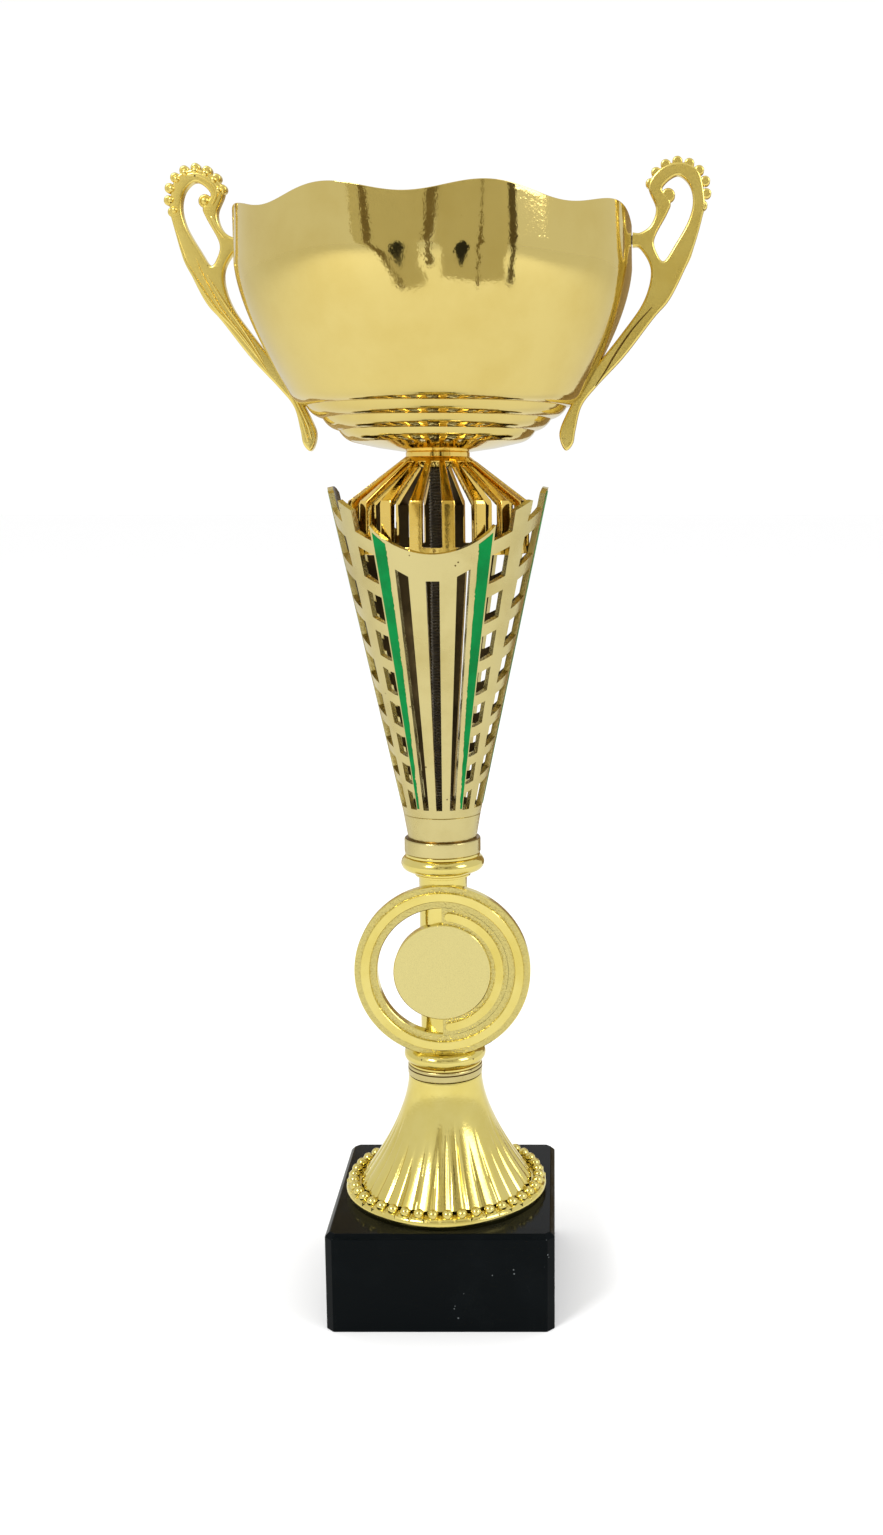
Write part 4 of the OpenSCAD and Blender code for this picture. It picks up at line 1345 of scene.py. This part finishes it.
def handle(name, node, turn, worked):
    """One handle. worked is the side of its ribs and beads as built: 1 looks to +Y, -1 to -Y."""
    bm = flat_casting([smooth_loop(handle_outline, 8), smooth_loop(near(UPPER_FIX, SCROLL_EYE), 8)])
    clip_out_of_bowl(bm)
    face_y = worked * (HANDLE_T / 2 - 0.1)
    for i in range(CREST_TEETH):
        angle = math.radians(lerp(CREST_FROM, CREST_TO, i / (CREST_TEETH - 1)))
        x = UPPER_FIX[0] + CREST_MID[0] + (CREST_R - 0.2) * math.cos(angle)
        z = UPPER_FIX[1] + CREST_MID[1] + (CREST_R - 0.2) * math.sin(angle)
        boss(bm, (x, z), TOOTH_R, HANDLE_T - 0.3)
        inner = CREST_R - 0.9
        bead_at = Matrix.Translation((
            UPPER_FIX[0] + CREST_MID[0] + inner * math.cos(angle), face_y * 0.8,
            UPPER_FIX[1] + CREST_MID[1] + inner * math.sin(angle),
        ))
        bmesh.ops.create_uvsphere(bm, u_segments=12, v_segments=8, radius=CREST_BEAD_R, matrix=bead_at)
    boss(bm, (UPPER_FIX[0] + CURL_MID[0], UPPER_FIX[1] + CURL_MID[1]), CURL_R, HANDLE_T - 0.1)
    ball = Matrix.Translation((UPPER_FIX[0] + CURL_MID[0], face_y * 0.6, UPPER_FIX[1] + CURL_MID[1]))
    bmesh.ops.create_uvsphere(bm, u_segments=16, v_segments=10, radius=CURL_BALL_R, matrix=ball)
    for points, width in RIBS_ON_HANDLE:
        rib(bm, points, width, RIB_RISE, face_y)
    # The thin dark line is painted shade of a groove, laid as a very low rib in the dark seam material.
    groove = bmesh.new()
    rib(groove, BACK_GROOVE, 0.24, 0.05, -worked * HANDLE_T / 2)
    for face in groove.faces:
        face.material_index = 1
    add_to(bm, groove)
    bmesh.ops.recalc_face_normals(bm, faces=bm.faces)
    bmesh.ops.rotate(bm, matrix=Matrix.Rotation(turn + BOWL_TURN, 3, "Z"), verts=bm.verts)
    bmesh.ops.translate(bm, vec=(0, 0, BOWL_Z), verts=bm.verts)
    return finish(name, bm, [handle_gold, painted_seam_shade], "handle_gold", node)


handle("scroll_handle_right", "right_handle", 0.0, 1)
handle("scroll_handle_left", "left_handle", math.pi, 1)

# %% [markdown]
# ## Rod, nuts, washers and clips
# One rod with a fine thread clamps the stack. The thread is a short zigzag edge that is spun for
# one turn while it climbs. That turn is then copied upwards, twice as many turns each time, which
# is far quicker than sweeping the whole screw. A nut is a six-sided prism with rounded edges. The
# clips inside the bowl are small domed washers pushed on the handles' studs.

# %% Threaded rod
ROD_R = 2.5
THREAD_PITCH = 0.8
THREAD_DEPTH = 0.45
ROD_FOOT = foot_of("tie_rod")
ROD_TOP = top_of("tie_rod")


def threaded_rod():
    """The rod, its thread swept for one turn and then doubled upwards, round a solid core."""
    bm = bmesh.new()
    steps = 20
    turns = int((ROD_TOP - ROD_FOOT - 1.6) / THREAD_PITCH)
    zigzag = [(ROD_R - THREAD_DEPTH, 0), (ROD_R, THREAD_PITCH / 2), (ROD_R - THREAD_DEPTH, THREAD_PITCH)]
    verts = [bm.verts.new((r, 0, ROD_FOOT + 0.4 + h)) for r, h in zigzag]
    edges = [bm.edges.new(pair) for pair in zip(verts, verts[1:])]
    bmesh.ops.spin(
        bm, geom=verts + edges, cent=(0, 0, 0), axis=(0, 0, 1), dvec=(0, 0, THREAD_PITCH / steps),
        angle=WHOLE_TURN, steps=steps,
    )
    done = 1
    while done < turns:
        copied = bmesh.ops.duplicate(bm, geom=bm.verts[:] + bm.edges[:] + bm.faces[:])["geom"]
        moved = [v for v in copied if isinstance(v, bmesh.types.BMVert)]
        bmesh.ops.translate(bm, vec=(0, 0, done * THREAD_PITCH), verts=moved)
        done *= 2
    above = [v for v in bm.verts if v.co.z > ROD_TOP - 0.6]
    bmesh.ops.delete(bm, geom=above, context="VERTS")
    bmesh.ops.remove_doubles(bm, verts=bm.verts, dist=0.01)
    core = ROD_R - THREAD_DEPTH + 0.05
    tip = 0.5
    lathe(bm, [(0, ROD_FOOT), (core - tip, ROD_FOOT), (core, ROD_FOOT + tip),
               (core, ROD_TOP - tip), (core - tip, ROD_TOP), (0, ROD_TOP)], 20)
    close_seams(bm)
    return finish("threaded_rod", bm, [steel], "steel", "tie_rod")


threaded_rod()

# %% Nuts and washers
NUT_AF = 8.0


def hex_nut(name, node):
    """A hexagon nut with rounded edges."""
    low, high = foot_of(node), top_of(node)
    bm = bmesh.new()
    middle = Matrix.Translation((0, 0, (low + high) / 2))
    bmesh.ops.create_cone(
        bm, cap_ends=True, segments=6, radius1=NUT_AF / math.sqrt(3), radius2=NUT_AF / math.sqrt(3),
        depth=high - low, matrix=middle @ Matrix.Rotation(math.radians(30), 4, "Z"),
    )
    soften(bm, 0.4, segments=3)
    return finish(name, bm, [steel], "steel", node)


def round_washer(name, node):
    """A flat washer with slightly rolled edges."""
    low, high = foot_of(node), top_of(node)
    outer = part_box(node)[1].x / MM
    edge = 0.2
    profile = [(BORE_R, low), (outer - edge, low), (outer, low + edge), (outer, high - edge),
               (outer - edge, high), (BORE_R + edge, high), (BORE_R, high - edge)]
    bm = bmesh.new()
    lathe(bm, profile, 64, closed=True)
    close_seams(bm)
    return finish(name, bm, [steel], "steel", node)


hex_nut("lower_nut", "base_nut")
hex_nut("bowl_hex_nut", "bowl_nut")
round_washer("lower_washer", "base_washer")
round_washer("bowl_round_washer", "bowl_washer")

# %% Clips on the handles' studs
STUD_R = 1.1
CLIP_R = 2.8
CLIP_T = 0.7


def clip_pair(name, node, turn):
    """Two domed clips inside the bowl, with the ends of the studs that they hold."""
    bm = bmesh.new()
    step = 0.01
    ahead, behind = (cubic(*BELLY_CURVE, LOWER_SHARE + k) for k in (step, -step))
    lean = math.atan2(ahead[0] - behind[0], ahead[1] - behind[1])
    for (x, z), tilt in ((UPPER_FIX, 0.0), (LOWER_FIX, lean)):
        part = bmesh.new()
        hollow = x - math.sqrt(x * x - CLIP_R * CLIP_R)
        base = BOWL_WALL + hollow + 0.05
        dome = [(STUD_R, base), (CLIP_R - 0.2, base), (CLIP_R, base + 0.15), (CLIP_R - 0.3, base + 0.4),
                (STUD_R + 0.4, base + CLIP_T), (STUD_R, base + CLIP_T - 0.1)]
        lathe(part, dome, 32, closed=True)
        stud = [(0, 0.3), (STUD_R, 0.3), (STUD_R, base + CLIP_T + 0.6), (STUD_R - 0.4, base + CLIP_T + 1.0)]
        lathe(part, stud + [(0, base + CLIP_T + 1.0)], 20)
        close_seams(part)
        into = Matrix.Rotation(tilt - math.radians(90), 4, "Y")
        bmesh.ops.transform(part, matrix=Matrix.Translation((x, 0, z)) @ into, verts=part.verts)
        add_to(bm, part)
    bmesh.ops.rotate(bm, matrix=Matrix.Rotation(turn + BOWL_TURN, 3, "Z"), verts=bm.verts)
    bmesh.ops.translate(bm, vec=(0, 0, BOWL_Z), verts=bm.verts)
    return finish(name, bm, [steel], "steel", node)


clip_pair("right_clips", "right_handle_clips", 0.0)
clip_pair("left_clips", "left_handle_clips", math.pi)

# %% [markdown]
# ## Floor and light
# The set is plain: a wide pale floor, a pale sky all round for the metal to reflect, and two soft
# lamps. Polished metal shows only what surrounds it, so the sky and the floor are a little darker
# in reflections than to the camera, and curved cards that only reflections can see stand round the
# trophy. They give the bowl's wall the darker shapes that make it read as a mirror.

# %% Floor
FLOOR_TONE = (0.96, 0.96, 0.96)
FLOOR_IN_METAL = (0.74, 0.74, 0.72)
floor_shape = bmesh.new()
bmesh.ops.create_grid(floor_shape, x_segments=1, y_segments=1, size=20.0)
floor_mesh = bpy.data.meshes.new("floor")
floor_shape.to_mesh(floor_mesh)
floor_shape.free()
floor = bpy.data.objects.new("floor", floor_mesh)
bpy.context.scene.collection.objects.link(floor)
floor_paint, floor_tree, floor_shader = new_material("pale_floor")
floor_path = floor_tree.nodes.new("ShaderNodeLightPath")
floor_mirrored = floor_path.outputs["Is Glossy Ray"]
floor_tone = mix_colours(floor_tree, floor_mirrored, FLOOR_TONE, FLOOR_IN_METAL)
floor_tree.links.new(floor_tone, floor_shader.inputs["Base Color"])
floor_shader.inputs["Roughness"].default_value = 0.9
floor_shader.inputs["Specular IOR Level"].default_value = 0.1
floor_mesh.materials.append(floor_paint)

# %% Sky and lamps
SKY_FOR_CAMERA = 1.02
SKY_FOR_LIGHT = 1.05
SKY_IN_METAL = 0.80
world = bpy.data.worlds.new("studio")
bpy.context.scene.world = world
world.use_nodes = True
sky = world.node_tree
background = sky.nodes["Background"]
background.inputs["Color"].default_value = (1, 1, 1, 1)
path = sky.nodes.new("ShaderNodeLightPath")
seen = spread(sky, path.outputs["Is Camera Ray"], 0.0, 1.0, 0.0, SKY_FOR_CAMERA - SKY_FOR_LIGHT)
mirrored = spread(sky, path.outputs["Is Glossy Ray"], 0.0, 1.0, SKY_FOR_LIGHT, SKY_IN_METAL)
strength = combine(sky, "ADD", seen, mirrored)
sky.links.new(strength, background.inputs["Strength"])


def soft_lamp(name, place, target, size, power):
    """A square soft lamp aimed at a point."""
    data = bpy.data.lights.new(name, "AREA")
    data.size = size
    data.energy = power
    lamp = bpy.data.objects.new(name, data)
    lamp.location = place
    lamp.rotation_euler = (Vector(target) - Vector(place)).to_track_quat("-Z", "Y").to_euler()
    bpy.context.scene.collection.objects.link(lamp)


soft_lamp("key", (-0.9, -1.1, 1.3), (0, 0, 0.15), 0.5, 14.0)
soft_lamp("fill", (1.2, -0.7, 0.9), (0, 0, 0.15), 0.7, 6.0)


def card(name, angles, heights, distance, shade, waves=0.0, taper=(0.0, 0.0), pinch=0.0):
    """A curved card round the trophy's axis, seen only in reflections, with wavy edges.
    angles are measured from straight ahead of the trophy, in degrees; taper moves the two edges
    of its lower half by that many degrees, and pinch narrows both its ends."""
    shape = bmesh.new()
    bmesh.ops.create_grid(shape, x_segments=32, y_segments=32, size=0.5)
    for vert in shape.verts:
        s, t = vert.co.x + 0.5, vert.co.y + 0.5
        sway = waves * (math.sin(t * 9 + 2 * s) + 0.5 * math.sin(t * 23 + 1))
        drawn_in = lerp(taper[0], taper[1], s) * ease(1 - 1.25 * t)
        along = lerp(0.5, s, 1 - pinch * (2 * t - 1) ** 2)
        angle = math.radians(lerp(angles[0], angles[1], along) + sway + drawn_in)
        sag = 0.01 * waves * math.sin(s * math.pi) * (1 - t)
        height = lerp(heights[0], heights[1], t) - sag
        vert.co = (distance * math.sin(angle), -distance * math.cos(angle), height)
    mesh = bpy.data.meshes.new(name)
    shape.to_mesh(mesh)
    shape.free()
    paper, _, paper_shader = new_material(name)
    paper_shader.inputs["Base Color"].default_value = (*shade, 1)
    paper_shader.inputs["Roughness"].default_value = 0.9
    mesh.materials.append(paper)
    piece = bpy.data.objects.new(name, mesh)
    bpy.context.scene.collection.objects.link(piece)
    piece.visible_camera = False
    piece.visible_shadow = False
    piece.visible_diffuse = False


LINE_SHADE = (0.16, 0.12, 0.06)
PATCH_SHADE = (0.52, 0.49, 0.38)
SPOT_SHADE = (0.01, 0.01, 0.01)
card("left_card", (-36, -5), (0.150, 0.42), 0.26, PATCH_SHADE, waves=1.6, taper=(17, 0))
card("right_card", (0, 47), (0.160, 0.42), 0.26, PATCH_SHADE, waves=1.4, taper=(3, -5))
card("left_spot", (-16.5, -11.5), (0.195, 0.285), 0.25, SPOT_SHADE, waves=0.4, pinch=0.95)
card("right_spot", (10, 17.5), (0.190, 0.282), 0.25, SPOT_SHADE, waves=0.4, pinch=0.95)
card("left_line", (-29, -28), (0.155, 0.42), 0.25, LINE_SHADE, waves=1.8, taper=(12, 12))
card("right_line", (24, 25), (0.150, 0.36), 0.25, LINE_SHADE, waves=1.4)
card("middle_line", (-4, -1), (0.20, 0.42), 0.25, LINE_SHADE, waves=0.9)
card("brown_bar", (44.5, 48.5), (0.165, 0.42), 0.25, (0.07, 0.05, 0.02), waves=0.8)
card("right_back", (138, 168), (0.02, 0.5), 0.45, (0.22, 0.15, 0.06), waves=3.0)
card("left_back", (-168, -152), (0.02, 0.5), 0.45, (0.35, 0.26, 0.12), waves=3.0)
bpy.context.scene.view_settings.view_transform = "Standard"
print("floor, sky, lamps and cards made")
